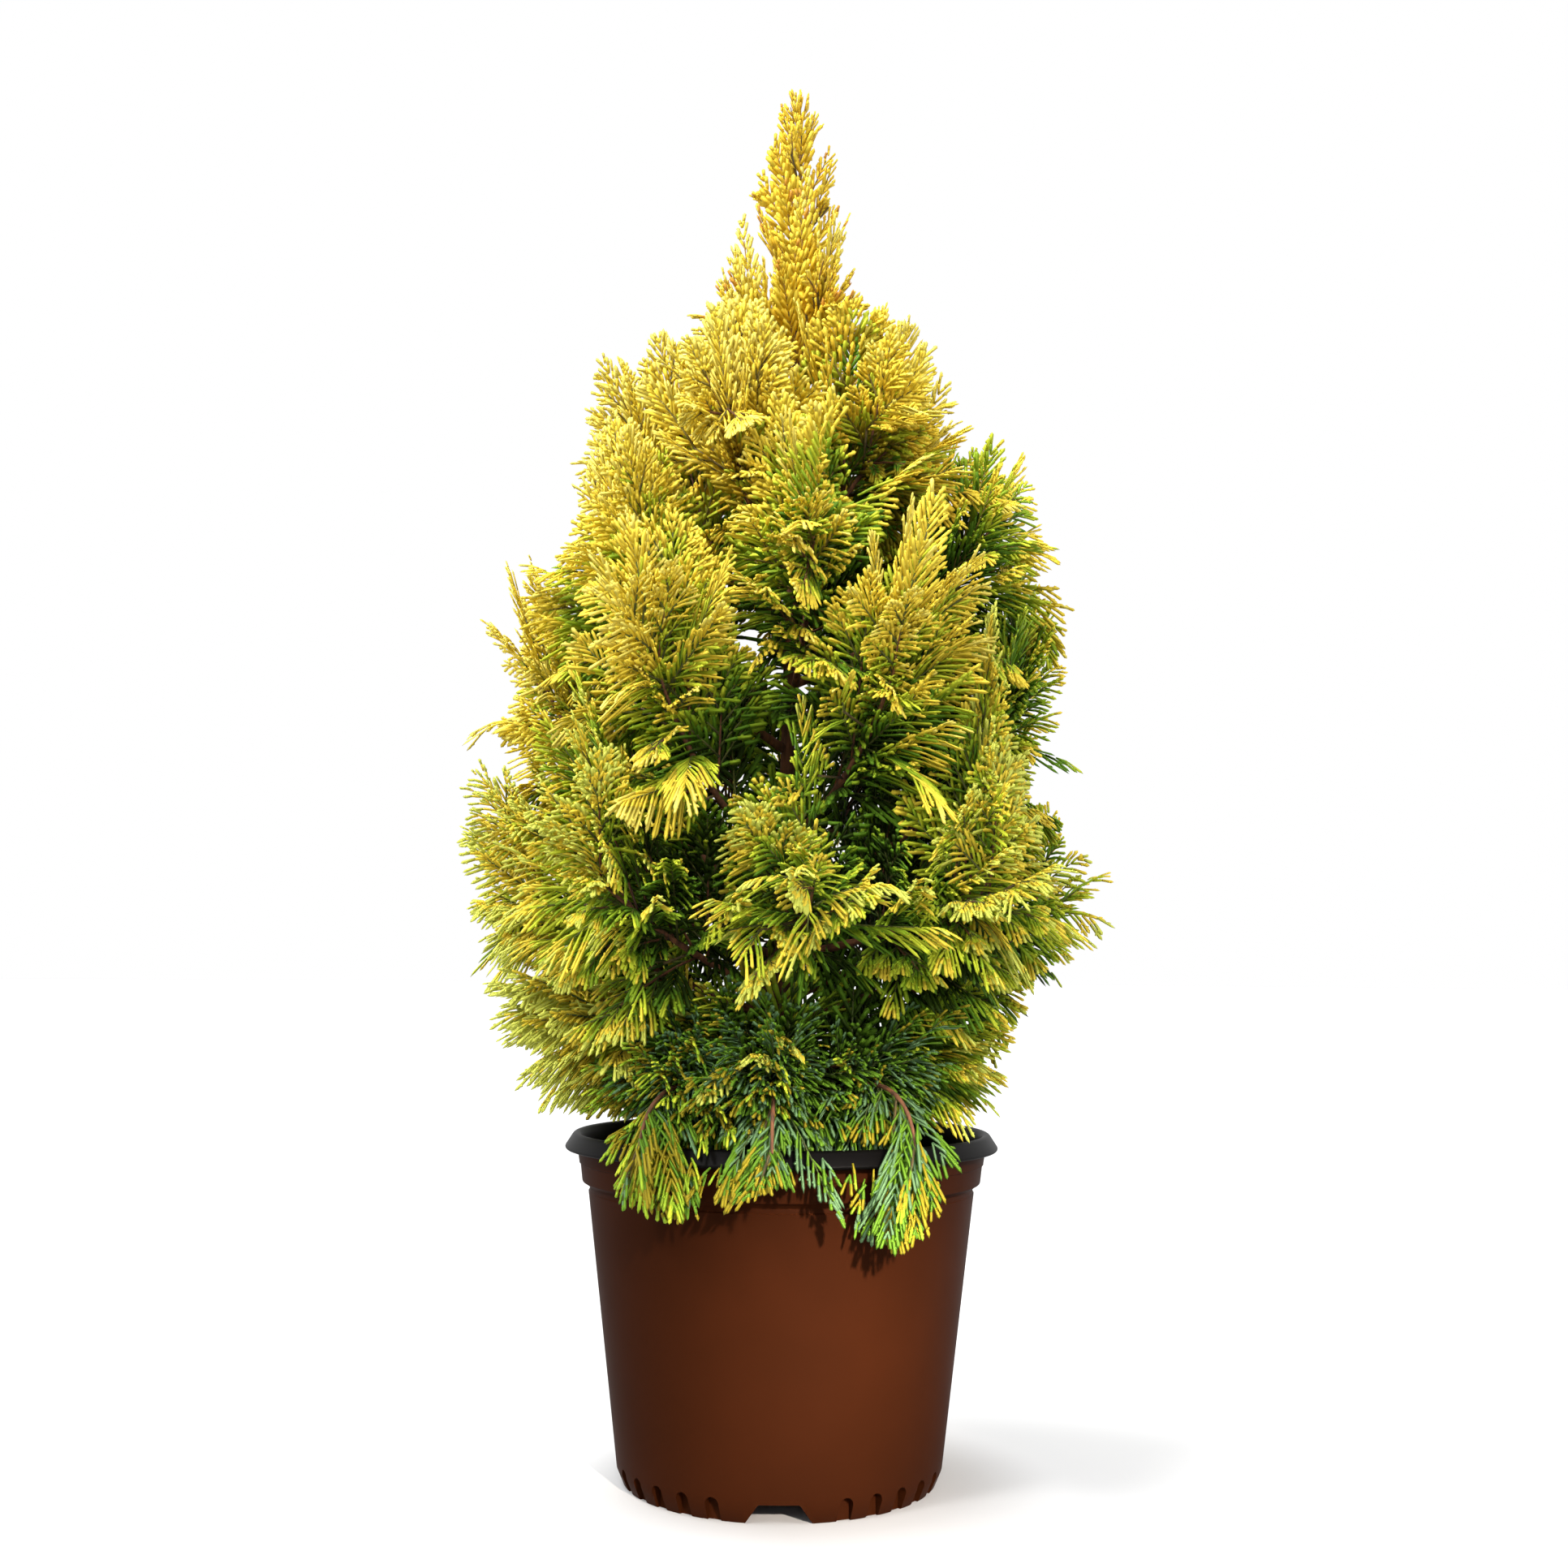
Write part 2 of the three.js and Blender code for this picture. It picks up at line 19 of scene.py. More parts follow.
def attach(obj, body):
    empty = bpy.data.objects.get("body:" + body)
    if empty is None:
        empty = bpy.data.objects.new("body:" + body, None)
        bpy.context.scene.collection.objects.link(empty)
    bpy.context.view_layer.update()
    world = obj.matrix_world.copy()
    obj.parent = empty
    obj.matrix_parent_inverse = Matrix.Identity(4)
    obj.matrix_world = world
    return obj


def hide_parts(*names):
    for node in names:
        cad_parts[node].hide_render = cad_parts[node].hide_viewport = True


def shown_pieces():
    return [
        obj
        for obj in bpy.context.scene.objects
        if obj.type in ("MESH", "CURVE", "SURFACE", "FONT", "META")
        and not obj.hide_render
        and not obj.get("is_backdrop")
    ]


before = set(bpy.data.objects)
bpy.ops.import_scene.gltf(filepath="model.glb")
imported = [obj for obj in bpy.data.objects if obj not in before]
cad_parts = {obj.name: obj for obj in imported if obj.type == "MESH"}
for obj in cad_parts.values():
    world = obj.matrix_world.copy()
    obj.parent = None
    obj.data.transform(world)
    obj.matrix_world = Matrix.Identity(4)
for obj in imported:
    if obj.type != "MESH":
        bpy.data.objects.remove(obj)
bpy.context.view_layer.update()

log = logging.getLogger("arborvitae")

MM = 0.001
UP = np.array([0.0, 0.0, 1.0])
Pair = tuple[float, float]


def linear(code: str) -> tuple[float, float, float, float]:
    """Turns an sRGB hex colour into linear light.

    Args:
        code: The colour as "#rrggbb".

    Returns:
        Red, green, blue and an alpha of 1.
    """
    shares = [int(code[i : i + 2], 16) / 255 for i in (1, 3, 5)]
    light = [s / 12.92 if s <= 0.04045 else ((s + 0.055) / 1.055) ** 2.4 for s in shares]
    return (*light, 1.0)


def add_node(tree: bpy.types.NodeTree, kind: str, inputs: dict | None = None, **settings) -> bpy.types.Node:
    """Adds one node to a material.

    Args:
        tree: The node tree that it goes into.
        kind: Blender's name of the node type.
        inputs: Values, or output sockets to link, by input name or place.
        **settings: The node's own properties.

    Returns:
        The new node.
    """
    node = tree.nodes.new(kind)
    for key, value in settings.items():
        setattr(node, key, value)
    for key, value in (inputs or {}).items():
        if isinstance(value, bpy.types.NodeSocket):
            tree.links.new(value, node.inputs[key])
        else:
            node.inputs[key].default_value = value
    return node


def new_material(name: str) -> tuple[bpy.types.Material, bpy.types.NodeTree]:
    """Makes an empty node material.

    Args:
        name: The real material's name.

    Returns:
        The material and its node tree.
    """
    material = bpy.data.materials.new(name)
    material.use_nodes = True
    material.node_tree.nodes.clear()
    return material, material.node_tree


def per_metre(size_mm: float) -> float:
    """Texture scale whose pattern repeats once in a size given in millimetres."""
    return 1 / (size_mm * MM)


class Tone(Enum):
    """Plain leaf colours, from the sunlit tips of the leader to the shaded inside of the crown."""

    COPPER = "#cc9234"
    GOLD = "#e4c034"
    YELLOW = "#ecd244"
    LEMON = "#ecda62"
    PALE = "#cfd35a"
    OLIVE = "#93851d"
    LIME = "#bfc934"
    LEAF = "#8fab28"
    GREEN = "#5d8420"
    DEEP = "#31450f"
    GREY = "#5f8055"


@dataclass(frozen=True)
class ScaleLeaf:
    """Living scale leaves: a waxy cuticle over thin tissue, so satin, a little mottled and ribbed."""

    tone: Tone
    roughness: float = 0.58
    shades: Pair = (0.8, 1.15)
    mottle_mm: float = 22.0
    scale_mm: float = 1.7

    def material(self) -> bpy.types.Material:
        """Makes the leaf material of this tone."""
        material, tree = new_material(f"scale_leaf_{self.tone.name.lower()}")
        place = add_node(tree, "ShaderNodeTexCoord")
        mottle = add_node(tree, "ShaderNodeTexNoise", {
            "Vector": place.outputs["Object"], "Scale": per_metre(self.mottle_mm), "Detail": 2.0})
        base = linear(self.tone.value)
        dark, light = (tuple(min(1.0, c * share) for c in base[:3]) + (1.0,) for share in self.shades)
        colour = add_node(tree, "ShaderNodeMix", {
            0: mottle.outputs["Fac"], 6: dark, 7: light}, data_type="RGBA")
        scales = add_node(tree, "ShaderNodeTexNoise", {
            "Vector": place.outputs["Object"], "Scale": per_metre(self.scale_mm), "Detail": 1.0})
        bump = add_node(tree, "ShaderNodeBump", {
            "Height": scales.outputs["Fac"], "Strength": 0.5, "Distance": 0.4 * MM})
        shader = add_node(tree, "ShaderNodeBsdfPrincipled", {
            "Base Color": colour.outputs[2], "Roughness": self.roughness, "IOR": 1.45,
            "Specular IOR Level": 0.18, "Normal": bump.outputs["Normal"]})
        add_node(tree, "ShaderNodeOutputMaterial", {"Surface": shader.outputs[0]})
        return material


@dataclass(frozen=True)
class Bark:
    """Young conifer bark: thin, reddish brown and fibrous, peeling lengthwise, so matt and streaked."""

    name: str = "conifer_bark"
    light: str = "#8a5634"
    dark: str = "#3b2417"
    fibre_mm: float = 5.0
    stretch: float = 0.18
    edges: Pair = (0.32, 0.7)

    def material(self) -> bpy.types.Material:
        """Makes the bark material."""
        material, tree = new_material(self.name)
        place = add_node(tree, "ShaderNodeTexCoord")
        along = add_node(tree, "ShaderNodeMapping", {
            "Vector": place.outputs["Object"], "Scale": (1.0, 1.0, self.stretch)})
        fibre = add_node(tree, "ShaderNodeTexNoise", {
            "Vector": along.outputs[0], "Scale": per_metre(self.fibre_mm), "Detail": 6.0, "Roughness": 0.65})
        colour = add_node(tree, "ShaderNodeValToRGB", {"Fac": fibre.outputs["Fac"]})
        for stop, edge, code in zip(colour.color_ramp.elements, self.edges, (self.dark, self.light)):
            stop.position, stop.color = edge, linear(code)
        bump = add_node(tree, "ShaderNodeBump", {
            "Height": fibre.outputs["Fac"], "Strength": 0.8, "Distance": 0.8 * MM})
        shader = add_node(tree, "ShaderNodeBsdfPrincipled", {
            "Base Color": colour.outputs["Color"], "Roughness": 0.85, "Normal": bump.outputs["Normal"]})
        add_node(tree, "ShaderNodeOutputMaterial", {"Surface": shader.outputs[0]})
        return material


@dataclass(frozen=True)
class MouldedPlastic:
    """Injection moulded polypropylene: a fine etched grain, so a broad and soft highlight."""

    name: str
    colour: str
    worn: str
    roughness: float
    shine: float
    grain_mm: float = 1.4
    cloud_mm: float = 60.0
    wear: Pair = (-0.05, 0.06)

    def material(self) -> bpy.types.Material:
        """Makes the plastic material."""
        material, tree = new_material(self.name)
        place = add_node(tree, "ShaderNodeTexCoord")
        cloud = add_node(tree, "ShaderNodeTexNoise", {
            "Vector": place.outputs["Object"], "Scale": per_metre(self.cloud_mm), "Detail": 3.0})
        colour = add_node(tree, "ShaderNodeMix", {
            0: cloud.outputs["Fac"], 6: linear(self.colour), 7: linear(self.worn)}, data_type="RGBA")
        grain = add_node(tree, "ShaderNodeTexNoise", {
            "Vector": place.outputs["Object"], "Scale": per_metre(self.grain_mm), "Detail": 2.0})
        rough = add_node(tree, "ShaderNodeMapRange", {
            "Value": cloud.outputs["Fac"], "To Min": self.roughness + self.wear[0],
            "To Max": self.roughness + self.wear[1]})
        bump = add_node(tree, "ShaderNodeBump", {
            "Height": grain.outputs["Fac"], "Strength": 0.12, "Distance": 0.1 * MM})
        shader = add_node(tree, "ShaderNodeBsdfPrincipled", {
            "Base Color": colour.outputs[2], "Roughness": rough.outputs[0], "IOR": 1.49,
            "Specular IOR Level": self.shine, "Normal": bump.outputs["Normal"]})
        add_node(tree, "ShaderNodeOutputMaterial", {"Surface": shader.outputs[0]})
        return material


@dataclass(frozen=True)
class PottingFinish:
    """Composted bark and peat: rough, damp and open, so dark brown with a few paler fibres."""

    name: str = "composted_bark"
    dark: str = "#17100a"
    light: str = "#4a3620"
    crumb_mm: float = 4.0

    def material(self) -> bpy.types.Material:
        """Makes the potting mix material."""
        material, tree = new_material(self.name)
        place = add_node(tree, "ShaderNodeTexCoord")
        crumb = add_node(tree, "ShaderNodeTexNoise", {
            "Vector": place.outputs["Object"], "Scale": per_metre(self.crumb_mm), "Detail": 5.0})
        colour = add_node(tree, "ShaderNodeMix", {
            0: crumb.outputs["Fac"], 6: linear(self.dark), 7: linear(self.light)}, data_type="RGBA")
        bump = add_node(tree, "ShaderNodeBump", {
            "Height": crumb.outputs["Fac"], "Strength": 1.0, "Distance": 1.5 * MM})
        shader = add_node(tree, "ShaderNodeBsdfPrincipled", {
            "Base Color": colour.outputs[2], "Roughness": 0.92, "Normal": bump.outputs["Normal"]})
        add_node(tree, "ShaderNodeOutputMaterial", {"Surface": shader.outputs[0]})
        return material


@dataclass(frozen=True)
class BacklitAcrylic:
    """White acrylic glowing from below: matt and even, with soft shadows only, and a painted shadow under the
    pot.
    """

    name: str = "backlit_acrylic"
    colour: str = "#b6b6b6"
    glow: float = 0.38
    # Centre and radii of the painted shadow under the pot, in which the glow fades out.
    shade_heading: float = -15.0
    shade_shift: float = 0.014
    shade_radii: Pair = (0.088, 0.17)

    def material(self) -> bpy.types.Material:
        """Makes the floor's material, whose glow only the camera sees."""
        material, tree = new_material(self.name)
        place = add_node(tree, "ShaderNodeTexCoord")
        # Painted shadow: the glow fades to nothing towards a centre near the pot's foot, so the floor is
        # darker under the pot.
        turn = math.radians(self.shade_heading)
        centre = (self.shade_shift * math.cos(turn), self.shade_shift * math.sin(turn), 0.0)
        away = add_node(tree, "ShaderNodeVectorMath", {
            0: place.outputs["Object"], 1: centre}, operation="DISTANCE")
        glow_outside_painted_shadow = add_node(tree, "ShaderNodeMapRange", {
            "Value": away.outputs["Value"], "From Min": self.shade_radii[0], "From Max": self.shade_radii[1],
            "To Min": 0.0, "To Max": self.glow}, interpolation_type="SMOOTHSTEP")
        path = add_node(tree, "ShaderNodeLightPath")
        seen = add_node(tree, "ShaderNodeMapRange", {
            "Value": path.outputs["Is Camera Ray"], "To Min": 0.0, "To Max": glow_outside_painted_shadow.outputs[0]})
        shader = add_node(tree, "ShaderNodeBsdfPrincipled", {
            "Base Color": linear(self.colour), "Roughness": 0.9, "Specular IOR Level": 0.2,
            "Emission Color": linear("#ffffff"), "Emission Strength": seen.outputs[0]})
        add_node(tree, "ShaderNodeOutputMaterial", {"Surface": shader.outputs[0]})
        return material


def deselect_all() -> None:
    """Leaves no object selected."""
    bpy.ops.object.select_all(action="DESELECT")


def select_only(*objects: bpy.types.Object) -> None:
    """Selects some objects and no others, the first of them as the active one."""
    deselect_all()
    for thing in objects:
        thing.select_set(True)
    bpy.context.view_layer.objects.active = objects[0]


def mesh_from_arrays(
        name: str, points: np.ndarray, triangles: np.ndarray, smooth: bool = True) -> bpy.types.Object:
    """Makes one object out of many small shapes.

    Args:
        name: The piece's name.
        points: Corners in millimetres, n by 3.
        triangles: Corner numbers, m by 3.
        smooth: Whether the faces are shaded as one curved surface.

    Returns:
        The new object, at the origin.
    """
    mesh = bpy.data.meshes.new(name)
    mesh.vertices.add(len(points))
    mesh.vertices.foreach_set("co", (points * MM).astype(np.float32).ravel())
    mesh.loops.add(triangles.size)
    mesh.loops.foreach_set("vertex_index", triangles.astype(np.int32).ravel())
    mesh.polygons.add(len(triangles))
    mesh.polygons.foreach_set("loop_start", np.arange(0, triangles.size, 3, dtype=np.int32))
    mesh.polygons.foreach_set("use_smooth", np.full(len(triangles), smooth))
    mesh.update(calc_edges=True)
    piece = bpy.data.objects.new(name, mesh)
    bpy.context.scene.collection.objects.link(piece)
    return piece


def settle(piece: bpy.types.Object, material: bpy.types.Material, nodes: Iterable[str]) -> None:
    """Gives a finished piece its material, its body and the nodes that it stands for.

    Args:
        piece: The finished piece.
        material: Its material.
        nodes: Names of the solids that it replaces.
    """
    piece.data.materials.clear()
    piece.data.materials.append(material)
    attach(piece, "root")
    names = list(nodes)
    if names:
        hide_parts(*names)
    log.info("%s: %d faces", piece.name, len(piece.data.polygons))


def arc(centre: Pair, radius: float, start: float, end: float, steps: int) -> list[Pair]:
    """Points round a part of a circle in a section.

    Args:
        centre: Radius and height of the circle's centre.
        radius: The circle's radius.
        start: Angle of the first point in degrees, 0 outwards and 90 up.
        end: Angle of the last point.
        steps: How many steps lie between the two.

    Returns:
        The points as radius and height.
    """
    turns = [math.radians(start + (end - start) * i / steps) for i in range(steps + 1)]
    return [(centre[0] + radius * math.cos(t), centre[1] + radius * math.sin(t)) for t in turns]


def turned(name: str, section: Sequence[Pair], sides: int) -> bpy.types.Object:
    """Turns a section about the upright axis, ring by ring, from the axis to the axis.

    Args:
        name: The piece's name.
        section: Radius and height of each ring in millimetres. The first and last rings are closed.
        sides: How many sides a ring has.

    Returns:
        The closed piece.
    """
    deselect_all()
    radius, height = section[0]
    bpy.ops.mesh.primitive_circle_add(
        vertices=sides, radius=radius * MM, fill_type="TRIFAN", location=(0, 0, height * MM))
    piece = bpy.context.object
    piece.name = piece.data.name = name
    bpy.ops.object.transform_apply(location=True)
    bpy.ops.object.mode_set(mode="EDIT")
    bpy.ops.mesh.select_mode(type="EDGE")
    bpy.ops.mesh.select_all(action="SELECT")
    bpy.ops.mesh.region_to_loop()
    for next_radius, next_height in section[1:]:
        bpy.ops.mesh.extrude_region_move(
            TRANSFORM_OT_translate={"value": (0, 0, (next_height - height) * MM)})
        scale = next_radius / radius
        bpy.ops.transform.resize(value=(scale, scale, 1), center_override=(0, 0, 0))
        radius, height = next_radius, next_height
    bpy.ops.mesh.edge_face_add()
    bpy.ops.mesh.select_all(action="SELECT")
    bpy.ops.mesh.normals_make_consistent(inside=False)
    bpy.ops.object.mode_set(mode="OBJECT")
    return piece


@dataclass
class Pot:
    """Round nursery pot: a brown wall with a fluted foot, and a black lining with a rolled lip."""

    foot_radius: float = 100.2
    foot_ring: float = 5.0
    foot_edge: float = 0.8
    hub: float = 8.0
    foot_height: float = 10.0
    low_radius: float = 104.2
    floor_height: float = 17.0
    step_height: float = 186.0
    step_radius: float = 125.2
    band_radius: float = 129.2
    band_rise: float = 2.5
    band_fillet: float = 1.0
    band_drop: float = 0.3
    fillet_steps: int = 4
    neck_height: float = 201.0
    neck_radius: float = 131.0
    bead: tuple[Pair, ...] = ((-0.5, -1.2), (0.3, -0.6), (0.3, 0.0))
    lip_under_height: float = 208.0
    lip_under_radius: float = 132.5
    lip_height: float = 211.8
    lip_radius: float = 140.5
    lip_from: float = -80.0
    lip_steps: int = 6
    tuck: float = 0.4
    rim_height: float = 219.4
    rim_radius: float = 134.0
    rim_set: float = 0.8
    rim_to: float = 150.0
    rim_steps: int = 8
    mouth_radius: float = 128.9
    mouth_drop: float = 4.4
    skin: float = 1.2
    lining_gap: float = 0.1
    flute_pitch: float = 11.25
    flute_width: float = 9.0
    flute_height: float = 14.5
    flute_depth: float = 2.8
    flute_steps: int = 10
    flute_skip: int = 2
    side_rings: tuple[float, ...] = (16.0, 19.0, 40.0, 100.0)
    notch_count: int = 4
    notch_heading: float = -90.0
    notch_base: float = 40.0
    notch_top: float = 25.0
    notch_height: float = 12.0
    notch_round: float = 2.5
    notch_inset: float = 1.5
    groove: float = 0.9
    groove_start: Pair = (0.2, 4.2)
    groove_heights: Pair = (3.4, 0.8)
    lip_edge: float = 1.4
    rim_round: float = 3.2
    slope: float = 34.0
    sides: int = 240
    crease: float = 35.0
    cutter_out: float = 20.0
    cutter_below: float = 1.0
    wall_finish: MouldedPlastic = MouldedPlastic("polypropylene_brown", "#311507", "#291105", 0.5, 0.02)
    lip_finish: MouldedPlastic = MouldedPlastic("polypropylene_black", "#060505", "#090808", 0.46, 0.05)

    def outer_radius(self, height: np.ndarray) -> np.ndarray:
        """Radius of the pot's outside at some heights, in millimetres."""
        heights = [0, self.foot_height, self.step_height, self.neck_height, self.lip_under_height,
                   self.lip_height]
        radii = [self.foot_radius, self.low_radius, self.step_radius + self.band_rise, self.neck_radius,
                 self.lip_radius, self.lip_radius]
        return np.interp(height, heights, radii)

    def wall_section(self) -> list[Pair]:
        """Section of the brown wall, from the middle of the floor's underside to that of its top."""
        inner, edge, fillet = self.foot_radius - self.foot_ring, self.foot_edge, self.band_fillet
        step_top, lip = self.step_height + self.band_rise, self.lip_under_height + self.tuck
        wide, high = self.step_radius - self.groove_start[0], self.step_height - self.groove_start[1]
        side = [(float(np.interp(height, (self.foot_height, high), (self.low_radius, wide))), height)
                for height in self.side_rings]
        groove = [(self.step_radius - self.groove, self.step_height - drop) for drop in self.groove_heights]
        bead = [(self.neck_radius + out, self.neck_height + up) for out, up in self.bead]
        outside = [
            (self.hub, self.floor_height), (inner, self.floor_height), (inner, edge), (inner + edge, 0.0),
            (self.foot_radius - edge, 0.0), (self.foot_radius, edge), (self.low_radius, self.foot_height),
            *side, (wide, high), *groove, (self.step_radius, self.step_height),
            *arc((self.band_radius - fillet, step_top - self.band_drop + fillet), fillet, -90, 0,
                 self.fillet_steps),
            *bead, (self.lip_under_radius, lip),
        ]
        thin = self.skin
        inside = [
            (self.lip_under_radius - thin, lip),
            (self.neck_radius - thin, self.neck_height),
            (self.band_radius - thin, step_top), (self.step_radius - thin, self.step_height),
            (self.low_radius - thin, self.floor_height + thin), (self.hub, self.floor_height + thin),
        ]
        return outside + inside

    def lining_section(self) -> list[Pair]:
        """Section of the black lining and its lip, from the floor's top to the lip and back."""
        near, far = self.skin + self.lining_gap, 2 * self.skin
        edge, crest = self.lip_edge, self.rim_round
        floor = self.floor_height
        step_top = self.step_height + self.band_rise
        outside = [
            (self.hub, floor + near), (self.low_radius - near, floor + near),
            (self.step_radius - near, self.step_height), (self.band_radius - near, step_top),
            (self.neck_radius - near, self.neck_height),
            (self.lip_under_radius - near, self.lip_under_height - self.tuck),
            *arc((self.lip_radius - edge, self.lip_height - edge), edge, self.lip_from, self.slope,
                 self.lip_steps),
            *arc((self.rim_radius - self.rim_set, self.rim_height - crest), crest, self.slope, self.rim_to,
                 self.rim_steps),
        ]
        inside = [
            (self.mouth_radius, self.rim_height - self.mouth_drop),
            (self.neck_radius - far, self.neck_height),
            (self.band_radius - far, step_top), (self.step_radius - far, self.step_height),
            (self.low_radius - far, floor + far), (self.hub, floor + far),
        ]
        return outside + inside

    def cutter(self, outline: Sequence[Pair], heading: float, depth: float) -> bpy.types.Object:
        """Makes a block that cuts into the foot from outside.

        Args:
            outline: Corners of its face as width and height, counter-clockwise from outside.
            heading: Where on the foot it stands, in degrees.
            depth: How far it reaches into the foot.

        Returns:
            The cutter, in place.
        """
        turn = math.radians(heading)
        points = []
        for radius in (self.foot_radius - depth, self.foot_radius + self.cutter_out):
            for across, height in outline:
                points.append((radius * math.cos(turn) - across * math.sin(turn),
                               radius * math.sin(turn) + across * math.cos(turn), height))
        count = len(outline)
        faces = [tuple(reversed(range(count))), tuple(range(count, 2 * count))]
        faces += [(i, (i + 1) % count, (i + 1) % count + count, i + count) for i in range(count)]
        mesh = bpy.data.meshes.new("cutter")
        mesh.from_pydata([[c * MM for c in p] for p in points], [], faces)
        block = bpy.data.objects.new("cutter", mesh)
        bpy.context.scene.collection.objects.link(block)
        return block

    def foot_cutters(self) -> list[bpy.types.Object]:
        """Makes the cutters of all flutes and notches."""
        half, below = self.flute_width / 2, self.cutter_below
        flute = [(-half, -below), (half, -below)]
        flute += arc((0, self.flute_height - half), half, 0, 180, self.flute_steps)
        slope = (self.notch_base - self.notch_top) / 2 / self.notch_height
        wide, top = self.notch_base / 2 + slope * below, self.notch_top / 2
        corner = arc((top - self.notch_inset, self.notch_height - self.notch_round), self.notch_round,
                     math.degrees(math.atan(slope)), 90, self.fillet_steps)
        notch = [(-wide, -below), (wide, -below), *corner]
        notch += [(-across, up) for across, up in reversed(corner)]
        step = 360 / self.notch_count
        blocks = []
        for i in range(self.notch_count):
            heading = self.notch_heading + i * step
            blocks.append(self.cutter(notch, heading, 2 * self.foot_ring))
            for j in range(self.flute_skip, round(step / self.flute_pitch) - self.flute_skip + 1):
                blocks.append(self.cutter(flute, heading + j * self.flute_pitch, self.flute_depth))
        return blocks

    def cut_foot(self, wall: bpy.types.Object) -> None:
        """Cuts the flutes and notches out of the wall's foot.

        Args:
            wall: The brown wall.
        """
        select_only(*self.foot_cutters())
        bpy.ops.object.join()
        cutter = bpy.context.object
        bpy.ops.object.mode_set(mode="EDIT")
        bpy.ops.mesh.select_all(action="SELECT")
        bpy.ops.mesh.normals_make_consistent(inside=False)
        bpy.ops.object.mode_set(mode="OBJECT")
        select_only(wall)
        cut = wall.modifiers.new("foot", "BOOLEAN")
        cut.operation, cut.solver, cut.object = "DIFFERENCE", "EXACT", cutter
        bpy.ops.object.modifier_apply(modifier=cut.name)
        bpy.data.objects.remove(cutter)

    def build(self) -> None:
        """Builds and dresses the wall and the lining."""
        wall = turned("pot_wall", self.wall_section(), self.sides)
        self.cut_foot(wall)
        lining = turned("pot_lining", self.lining_section(), self.sides)
        for piece, finish in ((wall, self.wall_finish), (lining, self.lip_finish)):
            select_only(piece)
            bpy.ops.object.shade_smooth_by_angle(angle=math.radians(self.crease))
            settle(piece, finish.material(), ["pot"])


@dataclass
class PottingMix:
    """Fill of the pot: an uneven surface of composted bark with loose chips on it."""

    height: float = 200.0
    radius: float = 126.2
    low_radius: float = 101.4
    floor: float = 20.2
    hub: float = 8.0
    eye: float = 4.0
    edge: float = 0.6
    sides: int = 128
    rings: int = 36
    relief: float = 3.0
    level_rim: float = 3.0
    lump_mm: float = 14.0
    chips: int = 900
    chip_length: Pair = (4.0, 15.0)
    chip_width: Pair = (0.3, 0.6)
    chip_height: Pair = (0.12, 0.3)
    chip_vary: Pair = (0.7, 1.15)
    chip_tip: float = 0.25
    chip_sink: float = 0.6
    chip_rim: float = 8.0
    trunk_room: float = 16.0
    seed: int = 41

    def surface(self) -> bpy.types.Object:
        """Builds the fill with its uneven top."""
        top = self.height - self.relief / 2
        section = [(self.hub, self.floor), (self.low_radius, self.floor), (self.radius - self.edge, top)]
        section += [(lerp(self.radius, self.eye, i / self.rings), top) for i in range(self.rings + 1)]
        piece = turned("mix_surface", section, self.sides)
        rise = piece.vertex_groups.new(name="top")
        rise.add([v.index for v in piece.data.vertices if v.co.z > (top - 1) * MM
                  and math.hypot(v.co.x, v.co.y) < (self.radius - self.level_rim) * MM], 1.0, "REPLACE")
        lumps = bpy.data.textures.new("lumps", "CLOUDS")
        lumps.noise_scale = self.lump_mm * MM
        push = piece.modifiers.new("lumps", "DISPLACE")
        push.texture, push.strength, push.vertex_group = lumps, self.relief * MM, "top"
        push.direction, push.texture_coords = "Z", "LOCAL"
        bpy.ops.object.modifier_apply(modifier=push.name)
        bpy.ops.object.shade_smooth()
        return piece

    def loose_chips(self) -> bpy.types.Object:
        """Builds the chips: flattened, crooked blocks that lie on the surface."""
        rng = np.random.default_rng(self.seed)
        count = self.chips
        spread = (self.radius - self.chip_rim) * np.sqrt(rng.random(count))
        turn = rng.random(count) * 2 * np.pi
        level = np.full(count, self.height - self.chip_sink)
        centre = np.stack([spread * np.cos(turn), spread * np.sin(turn), level], 1)
        keep = spread > self.trunk_room
        length = rng.uniform(*self.chip_length, count)
        size = np.stack([length, length * rng.uniform(*self.chip_width, count),
                         length * rng.uniform(*self.chip_height, count)], 1)
        square = ((-0.5, -0.5), (0.5, -0.5), (0.5, 0.5), (-0.5, 0.5))
        corner = np.array([[x, y, z] for z in (-0.5, 0.5) for x, y in square])
        shape = corner[None] * size[:, None] * rng.uniform(*self.chip_vary, (count, len(corner), 1))
        spin, tip = rng.random(count) * 2 * np.pi, rng.normal(0, self.chip_tip, count)
        x = shape[..., 0] * np.cos(tip)[:, None] + shape[..., 2] * np.sin(tip)[:, None]
        z = -shape[..., 0] * np.sin(tip)[:, None] + shape[..., 2] * np.cos(tip)[:, None]
        cos, sin = np.cos(spin)[:, None], np.sin(spin)[:, None]
        y = shape[..., 1]
        points = np.stack([x * cos - y * sin, x * sin + y * cos, z], 2) + centre[:, None]
        sides = [(0, 2, 1), (0, 3, 2), (4, 5, 6), (4, 6, 7)]
        for i in range(4):
            j = (i + 1) % 4
            sides += [(i, j, j + 4), (i, j + 4, i + 4)]
        return joined("mix_chips", [(points[keep], np.array(sides))], smooth=False)

    def build(self) -> None:
        """Builds and dresses the potting mix."""
        settle(self.surface(), PottingFinish().material(), ["potting_mix"])
        chip_finish = PottingFinish("pine_bark_chip", "#2a1a0f", "#6b4a2c", 6.0)
        settle(self.loose_chips(), chip_finish.material(), [])


